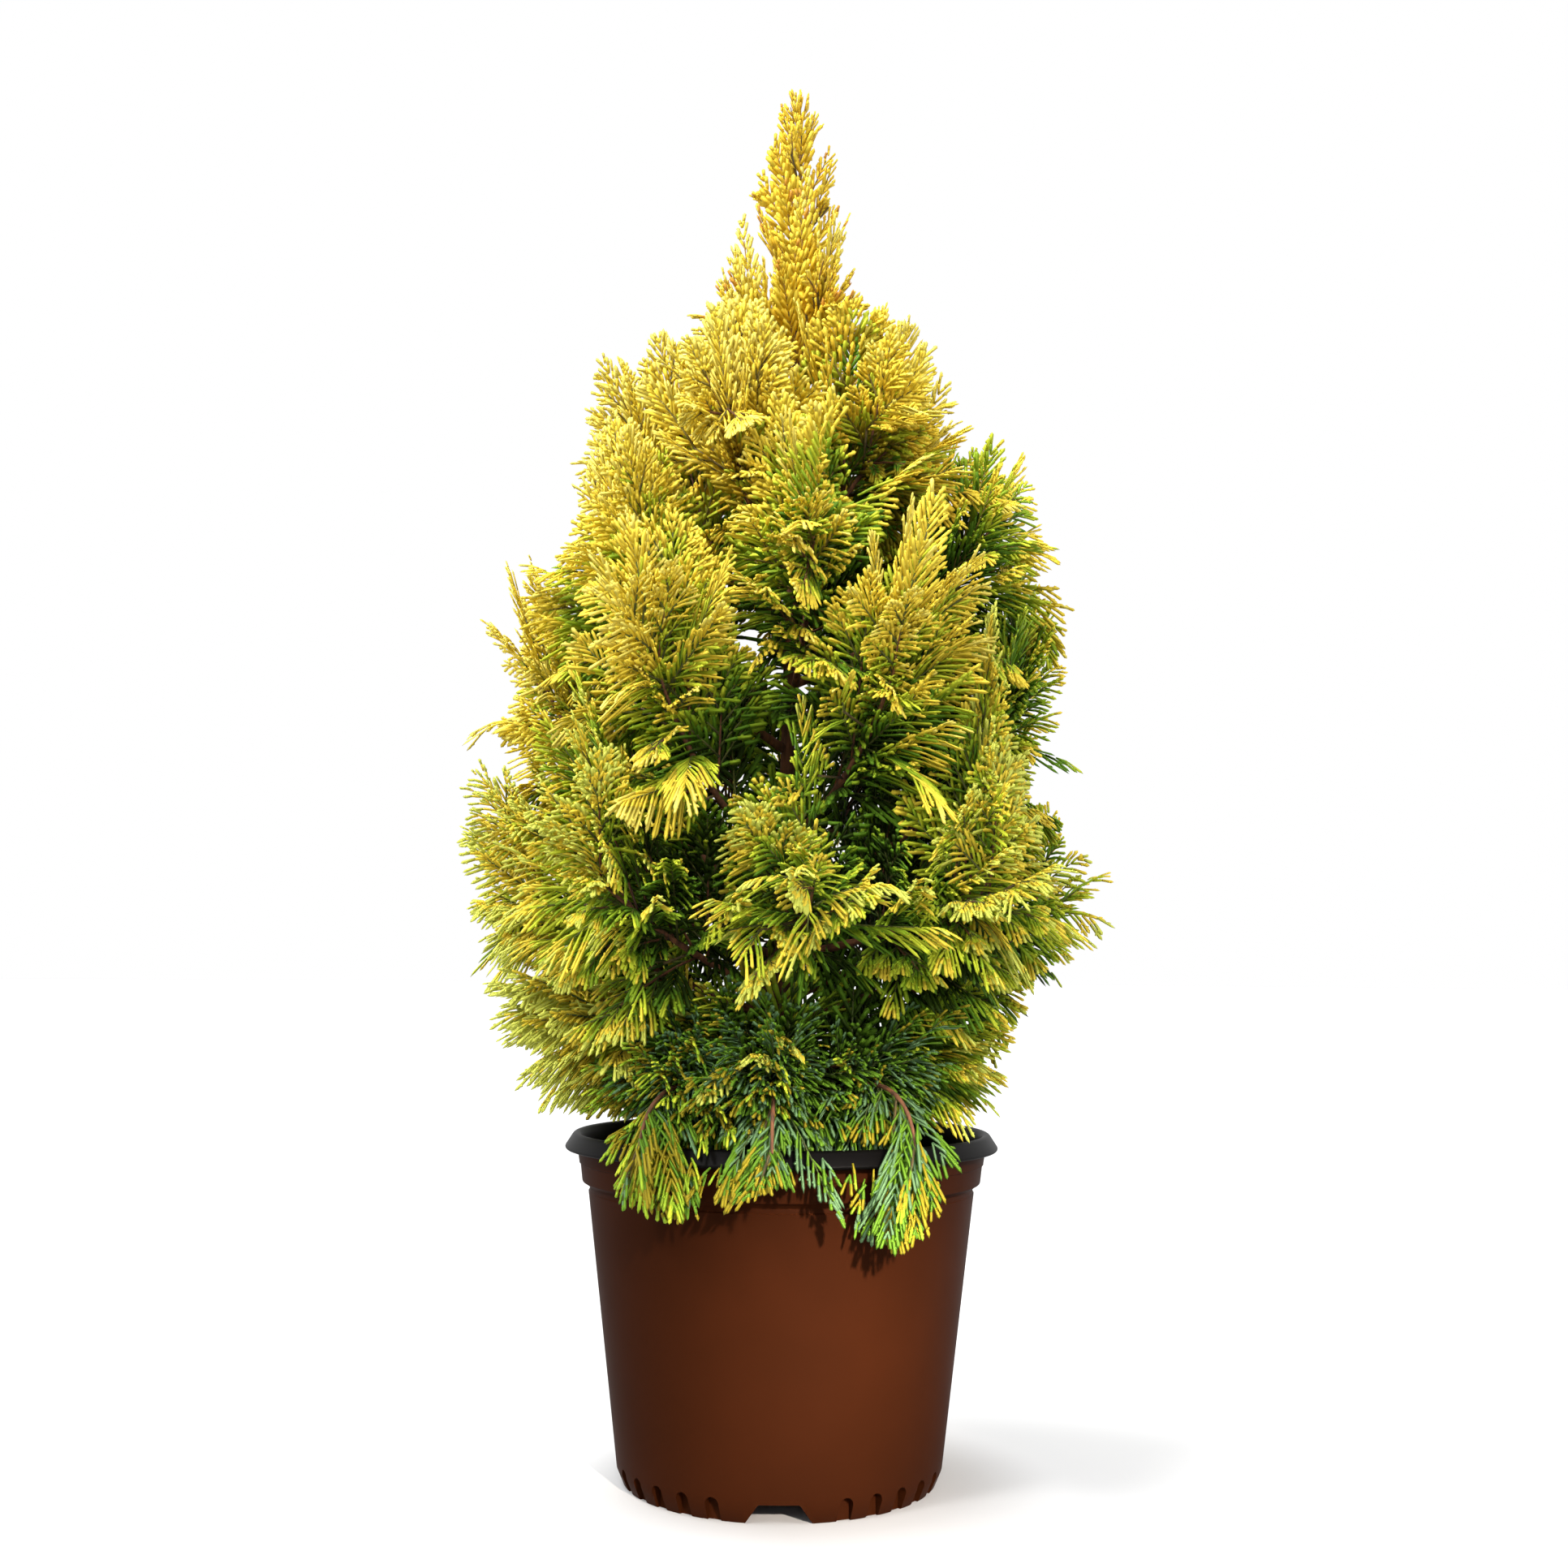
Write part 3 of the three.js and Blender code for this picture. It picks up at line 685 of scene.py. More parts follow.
def joined(name: str, sets: Iterable[tuple[np.ndarray, np.ndarray]], smooth: bool = True) -> bpy.types.Object:
    """Joins many shapes, of one kind or of several.

    Args:
        name: The piece's name.
        sets: For each kind, the corners, count by corners by 3, and the triangles of one shape.
        smooth: Whether the faces are shaded as one curved surface.

    Returns:
        The joined piece.
    """
    corners, triangles, start = [], [], 0
    for points, pattern in sets:
        starts = start + np.arange(len(points)) * points.shape[1]
        triangles.append((starts[:, None, None] + pattern[None]).reshape(-1, 3))
        corners.append(points.reshape(-1, 3))
        start += len(corners[-1])
    return mesh_from_arrays(name, np.concatenate(corners), np.concatenate(triangles), smooth)


class Draws:
    """Evenly spread numbers from 0 to 1 that are the same on every run."""

    MULTIPLIER = 1664525
    STEP = 1013904223
    SPAN = 2**32

    def __init__(self, seed: int) -> None:
        """Starts from a seed."""
        self.state = seed % self.SPAN

    def __call__(self) -> float:
        """Gives the next number."""
        self.state = (self.state * self.MULTIPLIER + self.STEP) % self.SPAN
        return self.state / self.SPAN

    def about(self, share: float) -> float:
        """Gives a factor near 1, give or take a share."""
        return 1 + share * (2 * self() - 1)


def lerp(a: float, b: float, share: float) -> float:
    """Value at a share of the way from a to b."""
    return a + (b - a) * share


def unit(vectors: np.ndarray) -> np.ndarray:
    """Vectors of the same directions with a length of 1."""
    return vectors / np.linalg.norm(vectors, axis=-1, keepdims=True)


def square_to(vectors: np.ndarray, heading: np.ndarray) -> np.ndarray:
    """Vectors turned square to a heading, with a length of 1."""
    return unit(vectors - heading * (vectors * heading).sum(-1, keepdims=True))


@dataclass
class Trunk:
    """Trunk: an even taper from its root flare to the foot of the leader, with a slight sway."""

    foot_height: float = 200.3
    tip_height: float = 806.0
    radius: float = 7.5
    tip_radius: float = 1.6
    flare: float = 6.5
    flare_height: float = 16.0
    lean: float = 8.0
    lean_power: float = 1.5
    sway: float = 4.0

    def centre(self, height: float) -> np.ndarray:
        """Centre of the trunk at a height."""
        share = (height - self.foot_height) / (self.tip_height - self.foot_height)
        return np.array([self.lean * share**self.lean_power, self.sway * math.sin(math.pi * share), height])

    def radius_at(self, height: float) -> float:
        """Radius of the trunk at a height."""
        rise = height - self.foot_height
        share = rise / (self.tip_height - self.foot_height)
        return lerp(self.radius, self.tip_radius, share) + self.flare * math.exp(-rise / self.flare_height)


class Slot(Enum):
    """The record's foliage slots."""

    GOLD = "foliage_gold"
    YELLOW = "foliage_yellow"
    LIME = "foliage_lime"
    GREEN = "foliage_green"


LEADERS = (Tone.GOLD, Tone.GOLD, Tone.YELLOW, Tone.GOLD, Tone.YELLOW, Tone.GOLD, Tone.YELLOW)
CREST = (Tone.GOLD, Tone.GOLD, Tone.YELLOW, Tone.GOLD, Tone.YELLOW, Tone.YELLOW, Tone.LEMON)
SHOULDERS = (Tone.GREEN, Tone.OLIVE, Tone.LIME, Tone.GOLD, Tone.YELLOW, Tone.YELLOW, Tone.LEMON)
MIDDLES = (Tone.DEEP, Tone.GREEN, Tone.LEAF, Tone.LIME, Tone.YELLOW, Tone.YELLOW, Tone.LEMON)
WIDES = (Tone.DEEP, Tone.DEEP, Tone.GREEN, Tone.LEAF, Tone.LIME, Tone.YELLOW, Tone.PALE)
SKIRTS = (Tone.GREEN, Tone.GREEN, Tone.LEAF, Tone.LEAF, Tone.LIME, Tone.YELLOW, Tone.PALE)
FRINGES = (Tone.DEEP, Tone.GREEN, Tone.GREY, Tone.GREEN, Tone.OLIVE, Tone.LEAF, Tone.LIME)


@dataclass(frozen=True)
class Habit:
    """How the finer foliage of a ring grows: fronds along a stem, and strands along a frond."""

    tones: tuple[Tone, ...]
    first: float = 0.12
    spread: Pair = (0.4, 1.65)
    rise: float = 0.2
    strand: float = 35.0
    spacing: float = 5.2
    low_angle: float = 0.7
    top_angle: float = 0.34
    curl: float = 0.3
    droop: float = 0.45
    width: float = 2.4
    copper: float = 0.0
    claim: float = 1.0
    # Shifts a ring's tones brighter above 0 and darker below 0: partly the ring's own colour, partly painted
    # light and shade.
    glow: float = 0.0
    lowest: float = 228.0
    upright: bool = True


@dataclass(frozen=True)
class Ring:
    """A ring of plumes, as in the solid model, and the habit of its finer foliage."""

    name: str
    slot: Slot
    headings: tuple[float, ...]
    foot: float
    stagger: float
    left: Pair
    right: Pair
    out: float
    lift: float
    bough: float
    spray: float
    bare: float
    shoots: int
    droop: float
    habit: Habit


LEADER_SEED = 77
RING_SEEDS = 1000
LEADER = Ring(
    "leader", Slot.GOLD, (0,), 806, 0, (8.4, 934.4), (8.4, 934.4), 0, 0, 0, 62, 0.04, 7, 0,
    Habit(LEADERS, strand=23, spacing=5.0, low_angle=0.62, top_angle=0.4, curl=0.25, droop=0.0,
          width=2.2, copper=0.22, claim=0, glow=0.3, upright=False))
RINGS = (
    Ring("crest", Slot.GOLD, (205, 325, 85), 716, 12, (42, 818), (40, 832), 0.9, 0.3, 0, 78, 0.12, 5, 0,
         Habit(CREST, spread=(0.2, 0.9), rise=0.7, strand=22, spacing=5.4, droop=0.15, copper=0.08,
               claim=1.2, glow=0.3, upright=False)),
    Ring("shoulder", Slot.YELLOW, (186, 246, 318, 30, 112), 560, 11, (112, 728), (106, 742), 0.86, 0.3, 0,
         96, 0.16, 7, 0.1,
         Habit(SHOULDERS, spread=(0.35, 1.4), rise=0.35, strand=31, droop=0.25, claim=1.1, glow=0.2)),
    Ring("middle", Slot.YELLOW, (212, 278, 348, 66, 142), 470, 11, (136, 640), (160, 664), 0.8, 0.3, 0.24,
         100, 0, 7, 0.2, Habit(MIDDLES, rise=0.1)),
    Ring("broad", Slot.LIME, (184, 240, 296, 2, 62, 122), 372, 9, (184, 584), (176, 562), 0.84, 0.28, 0.26,
         104, 0, 8, 0.25, Habit(MIDDLES, rise=0.0, droop=0.5, glow=-0.06)),
    Ring("wide", Slot.LIME, (180, 230, 276, 322, 6, 50, 92, 136), 290, 7, (206, 412), (207, 386), 0.75, 0.45,
         0.26, 100, 0, 8, 0.35, Habit(WIDES, rise=-0.15, droop=0.6)),
    Ring("skirt", Slot.GREEN, (200, 264, 336, 40, 122), 246, 4, (160, 286), (140, 262), 0.7, 1.5, 0,
         88, 0.2, 7, 0.45, Habit(SKIRTS, rise=-0.4, droop=0.5, claim=1.2, glow=0.24, lowest=190,
                                 upright=False)),
    # The fringe's darker tones are partly painted shade under the crown.
    Ring("fringe", Slot.GREEN, (238, 268, 300, 88), 226, 0, (152, 176), (152, 172), 1.22, -1.5, 0,
         66, 0.46, 5, 0.7, Habit(FRINGES, first=0.2, spread=(0.3, 1.4), rise=-0.5, strand=26, spacing=5.6,
                                 low_angle=0.7, top_angle=0.4, droop=0.6, width=2.4, claim=2.4,
                                 glow=-0.3, lowest=160, upright=False)),
)


@dataclass
class Plume:
    """One plume: the curve from the trunk to its tip, as in the solid model."""

    ring: Ring
    name: str
    bough_name: str
    heading: float
    seed: int
    marks: np.ndarray
    length: float = field(init=False)

    GAP = 0.3
    CHORDS = 200
    LAST_SPRAY = 0.8

    def __post_init__(self) -> None:
        """Measures the curve."""
        line = self.point(np.linspace(0, 1, self.CHORDS + 1))
        self.length = float(np.linalg.norm(np.diff(line, axis=0), axis=1).sum())

    def point(self, share: np.ndarray | float) -> np.ndarray:
        """Points at shares of the curve."""
        return curve_point(*self.marks, np.asarray(share, float)[..., None])

    def side(self) -> np.ndarray:
        """Level direction across the plume."""
        return np.array([-math.sin(self.heading), math.cos(self.heading), 0.0])

    def stem_start(self) -> float:
        """Share of the curve at which the stem starts, past its bough or inside the trunk."""
        return self.ring.bough + self.GAP / self.length if self.ring.bough > 0 else 0.0

    def stem_end(self) -> float:
        """Share of the curve at which the last spray is rooted."""
        return 1 - self.LAST_SPRAY * self.ring.spray / self.length


def curve_point(start: np.ndarray, bend: np.ndarray, end: np.ndarray, share: np.ndarray) -> np.ndarray:
    """Points of curves that leave a start towards a bend and reach an end.

    Args:
        start: Start of each curve.
        bend: The point that each curve leans towards.
        end: End of each curve.
        share: Share of the way, with a last axis of 1.

    Returns:
        The points.
    """
    return (1 - share) ** 2 * start + 2 * share * (1 - share) * bend + share**2 * end


def curve_heading(start: np.ndarray, bend: np.ndarray, end: np.ndarray, share: np.ndarray) -> np.ndarray:
    """Directions of such curves.

    Args:
        start: Start of each curve.
        bend: The point that each curve leans towards.
        end: End of each curve.
        share: Share of the way, with a last axis of 1.

    Returns:
        The directions, with a length of 1.
    """
    return unit((1 - share) * (bend - start) + share * (end - bend))


def plumes_of(trunk: Trunk) -> list[Plume]:
    """Lays out the plumes as the solid model does.

    Args:
        trunk: The trunk that they start from.

    Returns:
        The leader plume and then all rings' plumes from the top down.
    """
    foot, tip = trunk.centre(trunk.tip_height), np.array([LEADER.left[0], 0.0, LEADER.left[1]])
    found = [Plume(LEADER, "leader_plume", "", 0.0, LEADER_SEED, np.array([foot, (foot + tip) / 2, tip]))]
    for number, ring in enumerate(RINGS):
        for index, heading in enumerate(ring.headings):
            turn = math.radians(heading)
            to_left = (1 - math.cos(turn)) / 2
            reach = lerp(ring.right[0], ring.left[0], to_left)
            tip = lerp(ring.right[1], ring.left[1], to_left)
            outward = np.array([math.cos(turn), math.sin(turn), 0.0])
            low = ring.foot + ring.stagger * ((2 * index) % len(ring.headings))
            bend = outward * ring.out * reach + UP * (low + ring.lift * (tip - low))
            marks = np.array([trunk.centre(low), bend, outward * reach + UP * tip])
            found.append(Plume(ring, f"{ring.name}_plume_{index + 1}", f"{ring.name}_bough_{index + 1}",
                               turn, RING_SEEDS * (number + 1) + index, marks))
    return found


def nearest(points: np.ndarray, others: np.ndarray) -> np.ndarray:
    """Distance from each point to the nearest of others."""
    squares = (points**2).sum(1)[:, None] + (others**2).sum(1)[None] - 2 * points @ others.T
    return np.sqrt(np.maximum(squares.min(1), 0))


@dataclass(frozen=True)
class Crown:
    """Outline of the crown: its reach to the left and to the right at each height.

    The outline comes to a point at each plume's end and is set back between the plumes. Dents are
    given by their place across and up, and their size, as seen from the front.
    """

    ends: np.ndarray
    notch: float = 0.88
    point_mm: float = 58.0
    least_mm: float = 1e-6
    dents: tuple[tuple[float, float, float], ...] = (
        (45, 628, 26), (-45, 617, 26), (-21, 467, 32), (39, 429, 42), (-59, 321, 28), (39, 311, 32))
    dent_depth: float = 0.45
    outline: tuple[tuple[float, float, float], ...] = (
        (140, 170, 168), (200, 170, 164), (235, 158, 130), (279, 176, 150), (322, 202, 196), (359, 212, 208),
        (429, 206, 190), (511, 202, 190), (585, 188, 180), (605, 150, 176), (628, 140, 172), (660, 140, 160),
        (680, 138, 118), (735, 118, 112), (764, 58, 76), (784, 52, 48), (822, 34, 40), (851, 30, 40),
        (880, 20, 36), (910, 8, 22), (930, 4, 14), (937, 1, 1))

    def reach(self, points: np.ndarray) -> np.ndarray:
        """How far the crown reaches from the axis, towards some points.

        Args:
            points: Points in millimetres, n by 3.

        Returns:
            The reach in each point's direction, at its height.
        """
        heights, left, right = np.array(self.outline).T
        flat = np.maximum(np.hypot(points[:, 0], points[:, 1]), self.least_mm)
        to_left = (1 - points[:, 0] / flat) / 2
        height = points[:, 2]
        return lerp(np.interp(height, heights, right), np.interp(height, heights, left), to_left)

    def depth(self, points: np.ndarray) -> np.ndarray:
        """How far out points lie, from 0 on the axis to 1 on the outline."""
        return np.hypot(points[:, 0], points[:, 1]) / self.reach(points)

    def holds(self, points: np.ndarray, slack: np.ndarray | float = 0.0) -> np.ndarray:
        """Tells which points lie inside the pointed outline.

        Args:
            points: Points in millimetres, n by 3.
            slack: How far past it each may lie, as a share of the reach.

        Returns:
            True for the points inside.
        """
        pointed = np.exp(-((nearest(points, self.ends) / self.point_mm) ** 2))
        limit = self.notch + (1 - self.notch) * pointed + slack
        for across, up, size in self.dents:
            away = np.hypot(points[:, 0] - across, points[:, 2] - up) / size
            limit = limit * (1 - self.dent_depth * np.exp(-(away**2)) * (points[:, 1] < 0))
        return self.depth(points) <= limit


@dataclass(frozen=True)
class Growth:
    """Rule by which shoots leave a stem: angles in radians, from its foot to its top."""

    turn: float = 2.4
    scatter: float = 0.8
    low_angle: float = 0.95
    high_angle: float = 0.55
    top_share: float = 0.65
    roll: float = 1.6
    twig_every: int = 3
    twig_share: float = 0.5
    twig_roots: Pair = (0.6, 0.97)
    fork_share: float = 0.7
    fork: float = 0.45
    vary: float = 0.1
    droop_vary: float = 0.4
    sag: float = 0.3
    tries: tuple[float, ...] = (1.0, 0.8, 0.62, 0.45)
    outline: tuple[Pair, ...] = ((0.62, 0.29), (0.64, 0.11), (1.0, 0.0))
    marks: int = 16
    overlap: float = 14.0
    reach: float = 213.0
    seed_step: int = 100


@dataclass(frozen=True)
class Filling:
    """Rule for the finer fronds: each grows where, of a few chances, it finds the most room."""

    count: int = 700
    chances: int = 40
    seed: int = 19
    first_seed: int = 900000
    length: Pair = (0.7, 1.15)
    rise: Pair = (0.3, 1.4)
    lift: float = 0.35
    roll: float = 1.1
    inner_room: float = 0.42
    face_rise: float = 0.3
    gather: float = 0.65
    sideways: float = 0.7
    middle: float = 0.55


@dataclass(frozen=True)
class Feathering:
    """Rule for the upright shoots: they rise where they find room, with flat fronds on both sides."""

    count: int = 250
    chances: int = 40
    seed: int = 23
    first_seed: int = 500000
    length: Pair = (85.0, 170.0)
    lean: Pair = (0.08, 0.7)
    hanging: float = 0.2
    hanging_lean: Pair = (1.2, 2.1)
    hanging_length: float = 0.65
    set_back: Pair = (-0.2, 0.04)
    swing: float = 0.8
    nod: float = 0.3
    roll: float = 1.2
    from_share: float = 0.25
    to_share: float = 0.95
    middle: float = 0.5
    seed_step: int = 100
    pitch: float = 8.0
    fewest: int = 4
    bare: float = 0.12
    low_angle: float = 0.85
    top_angle: float = 0.3
    angle_vary: Pair = (0.85, 1.15)
    out_of_plane: float = 0.12
    frond: float = 62.0
    frond_share: float = 0.55
    frond_vary: Pair = (0.8, 1.15)
    top_share: float = 0.36
    sag: float = 0.18
    end_share: float = 0.4
    end_reach: float = 1.1


@dataclass(frozen=True)
class Spire:
    """Rule for the leader's sprays: they stand round it in a spiral, shorter and steeper towards its tip."""

    count: int = 30
    seed: int = 31
    first_seed: int = 400000
    first: float = -1.0
    last: float = 0.78
    turn: float = 2.4
    low_angle: float = 0.86
    top_angle: float = 0.3
    length: Pair = (78.0, 42.0)
    roll: float = 0.9
    lift: float = 0.12
    turn_vary: float = 0.25
    vary: Pair = (0.85, 1.15)


@dataclass
class Frond:
    """One flat frond: where it is rooted, how it points and bends, and the plume that it grows on."""

    root: np.ndarray
    along: np.ndarray
    across: np.ndarray
    bend: float
    length: float
    plume: Plume
    seed: int

    def point(self, share: np.ndarray | float) -> np.ndarray:
        """Points along the frond's rib."""
        t = np.asarray(share, float)[..., None]
        return self.root + self.along * t * self.length + UP * self.bend * self.length * t**2

    def place(self, along: float, across: float) -> np.ndarray:
        """A point of the frond's outline, as shares of its length."""
        return self.point(along) + self.across * across * self.length


def across_of(side: np.ndarray, along: np.ndarray, roll: float) -> np.ndarray:
    """Direction across a frond, so that its flat face looks outwards.

    Args:
        side: Level direction across the plume.
        along: Direction of the frond.
        roll: How far it is turned about itself, in radians.

    Returns:
        The direction.
    """
    across = square_to(side, along)
    return across * math.cos(roll) + np.cross(along, across) * math.sin(roll)


@dataclass
class Budding:
    """Grows the fronds of all plumes by the solid model's seeded rule, and finer ones between."""

    plumes: list[Plume]
    crown: Crown
    is_free: Callable[[np.ndarray], np.ndarray]
    growth: Growth = Growth()
    filling: Filling = Filling()
    feathering: Feathering = Feathering()
    spire: Spire = Spire()
    stems: list[Frond] = field(default_factory=list)
    twigs: list[tuple[np.ndarray, np.ndarray, Plume]] = field(default_factory=list)

    def __post_init__(self) -> None:
        """Marks out each plume's space."""
        count = self.growth.marks + 1
        self.marks = [p.point(np.linspace(p.stem_start() + p.ring.bare, 1, count)) for p in self.plumes]

    def fits(self, frond: Frond, own: int) -> bool:
        """Tells whether a frond keeps to its plume's space.

        Args:
            frond: The frond.
            own: The number of its plume.

        Returns:
            True if all its corners lie in the crown and nearer to their own plume.
        """
        corners = np.array([frond.place(u, s * v) for u, v in self.growth.outline for s in (-1, 1)])
        if (np.hypot(corners[:, 0], corners[:, 1]) > self.growth.reach).any():
            return False
        near = [np.linalg.norm(corners[:, None] - marks[None], axis=2).min(1) for marks in self.marks]
        others = np.min([near[i] for i in range(len(near)) if i != own], axis=0)
        return bool((others >= near[own] - self.growth.overlap).all())

    def main_fronds(self, plume: Plume, own: int) -> list[Frond]:
        """Grows the fronds of one plume that the solid model has too.

        Args:
            plume: The plume.
            own: Its number.

        Returns:
            Its fronds, each as long as its space allows.
        """
        growth, ring, draw = self.growth, plume.ring, Draws(plume.seed)
        first, last, side = plume.stem_start() + ring.bare, plume.stem_end(), plume.side()
        grown = []
        for i in range(ring.shoots):
            share = i / (ring.shoots - 1)
            spot = np.array([lerp(first, last, share)])
            root, ahead = plume.point(spot)[0], curve_heading(*plume.marks, spot)
            normal = unit(np.cross(side, ahead))
            turn = i * growth.turn + (draw() - 0.5) * growth.scatter
            angle = lerp(growth.low_angle, growth.high_angle, share) * draw.about(growth.vary)
            outward = side * math.cos(turn) + normal * math.sin(turn)
            along = ahead * math.cos(angle) + outward * math.sin(angle)
            along = unit(along - UP * ring.droop * draw.about(growth.droop_vary))
            length = ring.spray * lerp(1, growth.top_share, share) * draw.about(growth.vary)
            roll = (draw() - 0.5) * growth.roll
            across = across_of(side, along, roll)
            shoots = [(root, along, across, length)]
            if i % growth.twig_every == 1:
                twig = length * growth.twig_share
                self.twigs.append((root, root + along * twig, plume))
                shoots = []
                for k, place in enumerate(growth.twig_roots):
                    heading = unit(along + across * (2 * k - 1) * growth.fork)
                    shoots.append((root + along * twig * place, heading, across_of(side, heading, roll),
                                   length * growth.fork_share))
            for k, (base, heading, flat, size) in enumerate(shoots):
                sag = growth.sag * math.hypot(heading[0], heading[1])
                for attempt in growth.tries:
                    frond = Frond(base, heading, flat, -sag, size * attempt, plume,
                                  plume.seed * growth.seed_step + 2 * i + k)
                    if self.fits(frond, own):
                        grown.append(frond)
                        break
        base = plume.point(last)
        reach = plume.marks[2] - base
        heading = unit(reach)
        grown.append(Frond(base, heading, across_of(side, heading, 0), 0.0, float(np.linalg.norm(reach)),
                           plume, (plume.seed + 1) * growth.seed_step - 1))
        return grown

    def longest(self, root: np.ndarray, along: np.ndarray, bend: np.ndarray, length: np.ndarray, half: float,
                slack: np.ndarray | float, lowest: np.ndarray | float) -> tuple[np.ndarray, ...]:
        """Makes each of a few chances as long as its space allows.

        Args:
            root: Where each is rooted.
            along: How it points.
            bend: How far it bends up or down.
            length: Its full length.
            half: The share of it that counts as its middle.
            slack: How far past the outline its tip may lie, as a share of the reach.
            lowest: The height that its tip keeps above.

        Returns:
            Its length, or 0 where it has no space, its middle and its tip.
        """
        def ends(size: np.ndarray) -> list[np.ndarray]:
            """Middles and tips of chances of some lengths."""
            size = size[:, None]
            return [root + along * size * s + UP * bend[:, None] * size * s**2 for s in (half, 1.0)]

        size = np.zeros(len(length))
        for attempt in self.growth.tries:
            middle, tip = ends(length * attempt)
            fits = self.crown.holds(tip, slack) & self.crown.holds(middle) & (tip[:, 2] > lowest)
            fits &= self.is_free(tip) & self.is_free(middle)
            size = np.where(fits & (size == 0), length * attempt, size)
        return size, *ends(size)

    def finer_fronds(self, fronds: list[Frond]) -> list[Frond]:
        """Grows the finer fronds one after another, each where it finds the most room.

        Args:
            fronds: The fronds that are there already.

        Returns:
            The finer fronds.
        """
        rule, rng = self.filling, np.random.default_rng(self.filling.seed)
        marks = np.array([plume.marks for plume in self.plumes])
        sides = np.array([plume.side() for plume in self.plumes])
        last = np.array([plume.stem_end() for plume in self.plumes])
        habits = [plume.ring.habit for plume in self.plumes]
        first, lowest = np.array([h.first for h in habits]), np.array([h.lowest for h in habits])
        rise = np.array([p.ring.habit.rise + rule.face_rise * abs(math.sin(p.heading)) for p in self.plumes])
        spread = np.array([h.spread for h in habits])
        spray = np.array([plume.ring.spray for plume in self.plumes])
        claim = np.array([h.claim for h in habits])
        taken = np.zeros((2 * (len(fronds) + rule.count), 3))
        used = 2 * len(fronds)
        taken[:used] = np.concatenate([frond.point(np.array([rule.middle, 1.0])) for frond in fronds])
        grown = []
        for number in range(rule.count):
            who = rng.integers(len(self.plumes), size=rule.chances)
            share = rng.uniform(first[who], last[who])[:, None]
            ends = marks[who].transpose(1, 0, 2)
            root, ahead, side = curve_point(*ends, share), curve_heading(*ends, share), sides[who]
            normal = unit(np.cross(side, ahead))
            turn = rng.uniform(0, 2 * np.pi, rule.chances)[:, None]
            angle = rng.uniform(spread[who, 0], spread[who, 1])[:, None]
            angle *= 1 - rule.gather * np.maximum(share, 0) ** 2
            aside = side * np.cos(turn) * rule.sideways + normal * np.sin(turn)
            along = ahead * np.cos(angle) + aside * np.sin(angle)
            lift = rise[who] * rng.uniform(*rule.rise, rule.chances)
            along = unit(along + UP * lift[:, None])
            bend = lift * rule.lift
            length = spray[who] * rng.uniform(*rule.length, rule.chances)
            size, middle, tip = self.longest(root, along, bend, length, rule.middle, 0.0, lowest[who])
            if not size.any():
                continue
            room = nearest(middle, taken[:used]) + nearest(tip, taken[:used])
            room *= rule.inner_room + (1 - rule.inner_room) * self.crown.depth(tip) ** 2
            pick = int((room * claim[who] * (size > 0)).argmax())
            across = across_of(side[pick], along[pick], rng.uniform(-rule.roll, rule.roll))
            frond = Frond(root[pick], along[pick], across, float(bend[pick]), float(size[pick]),
                          self.plumes[who[pick]], rule.first_seed + number)
            grown.append(frond)
            taken[used : used + 2] = middle[pick], tip[pick]
            used += 2
        return grown

    def upright_stems(self) -> list[Frond]:
        """Grows the stems of the upright shoots one after another, each where it finds the most room.

        Returns:
            The stems.
        """
        rule, rng = self.feathering, np.random.default_rng(self.feathering.seed)
        bearing = [plume for plume in self.plumes if plume.ring.habit.upright]
        marks = np.array([plume.marks for plume in bearing])
        headings = np.array([plume.heading for plume in bearing])
        taken = np.array([plume.marks[2] for plume in self.plumes])
        grown = []
        for number in range(rule.count):
            who = rng.integers(len(bearing), size=rule.chances)
            share = rng.uniform(rule.from_share, rule.to_share, rule.chances)[:, None]
            root = curve_point(*marks[who].transpose(1, 0, 2), share)
            heading = headings[who] + rng.uniform(-rule.swing, rule.swing, rule.chances)
            outward = np.stack([np.cos(heading), np.sin(heading), np.zeros(rule.chances)], 1)
            hangs = rng.random(rule.chances) < rule.hanging
            lean = np.where(hangs, rng.uniform(*rule.hanging_lean, rule.chances),
                            rng.uniform(*rule.lean, rule.chances))[:, None]
            along = UP * np.cos(lean) + outward * np.sin(lean)
            bend = -rule.nod * np.sin(lean[:, 0]) * rng.random(rule.chances)
            length = rng.uniform(*rule.length, rule.chances) * np.where(hangs, rule.hanging_length, 1.0)
            set_back = rng.uniform(*rule.set_back, rule.chances)
            size, middle, tip = self.longest(root, along, bend, length, rule.middle, set_back, 0.0)
            if not size.any():
                continue
            room = nearest(middle, taken) + nearest(tip, taken)
            pick = int((room * self.crown.depth(tip) * (size > 0)).argmax())
            across = across_of(np.cross(UP, outward[pick]), along[pick], rng.uniform(-rule.roll, rule.roll))
            grown.append(Frond(root[pick], along[pick], across, float(bend[pick]), float(size[pick]),
                               bearing[who[pick]], rule.first_seed + rule.seed_step * number))
            taken = np.concatenate([taken, middle[pick][None], tip[pick][None]])
        return grown

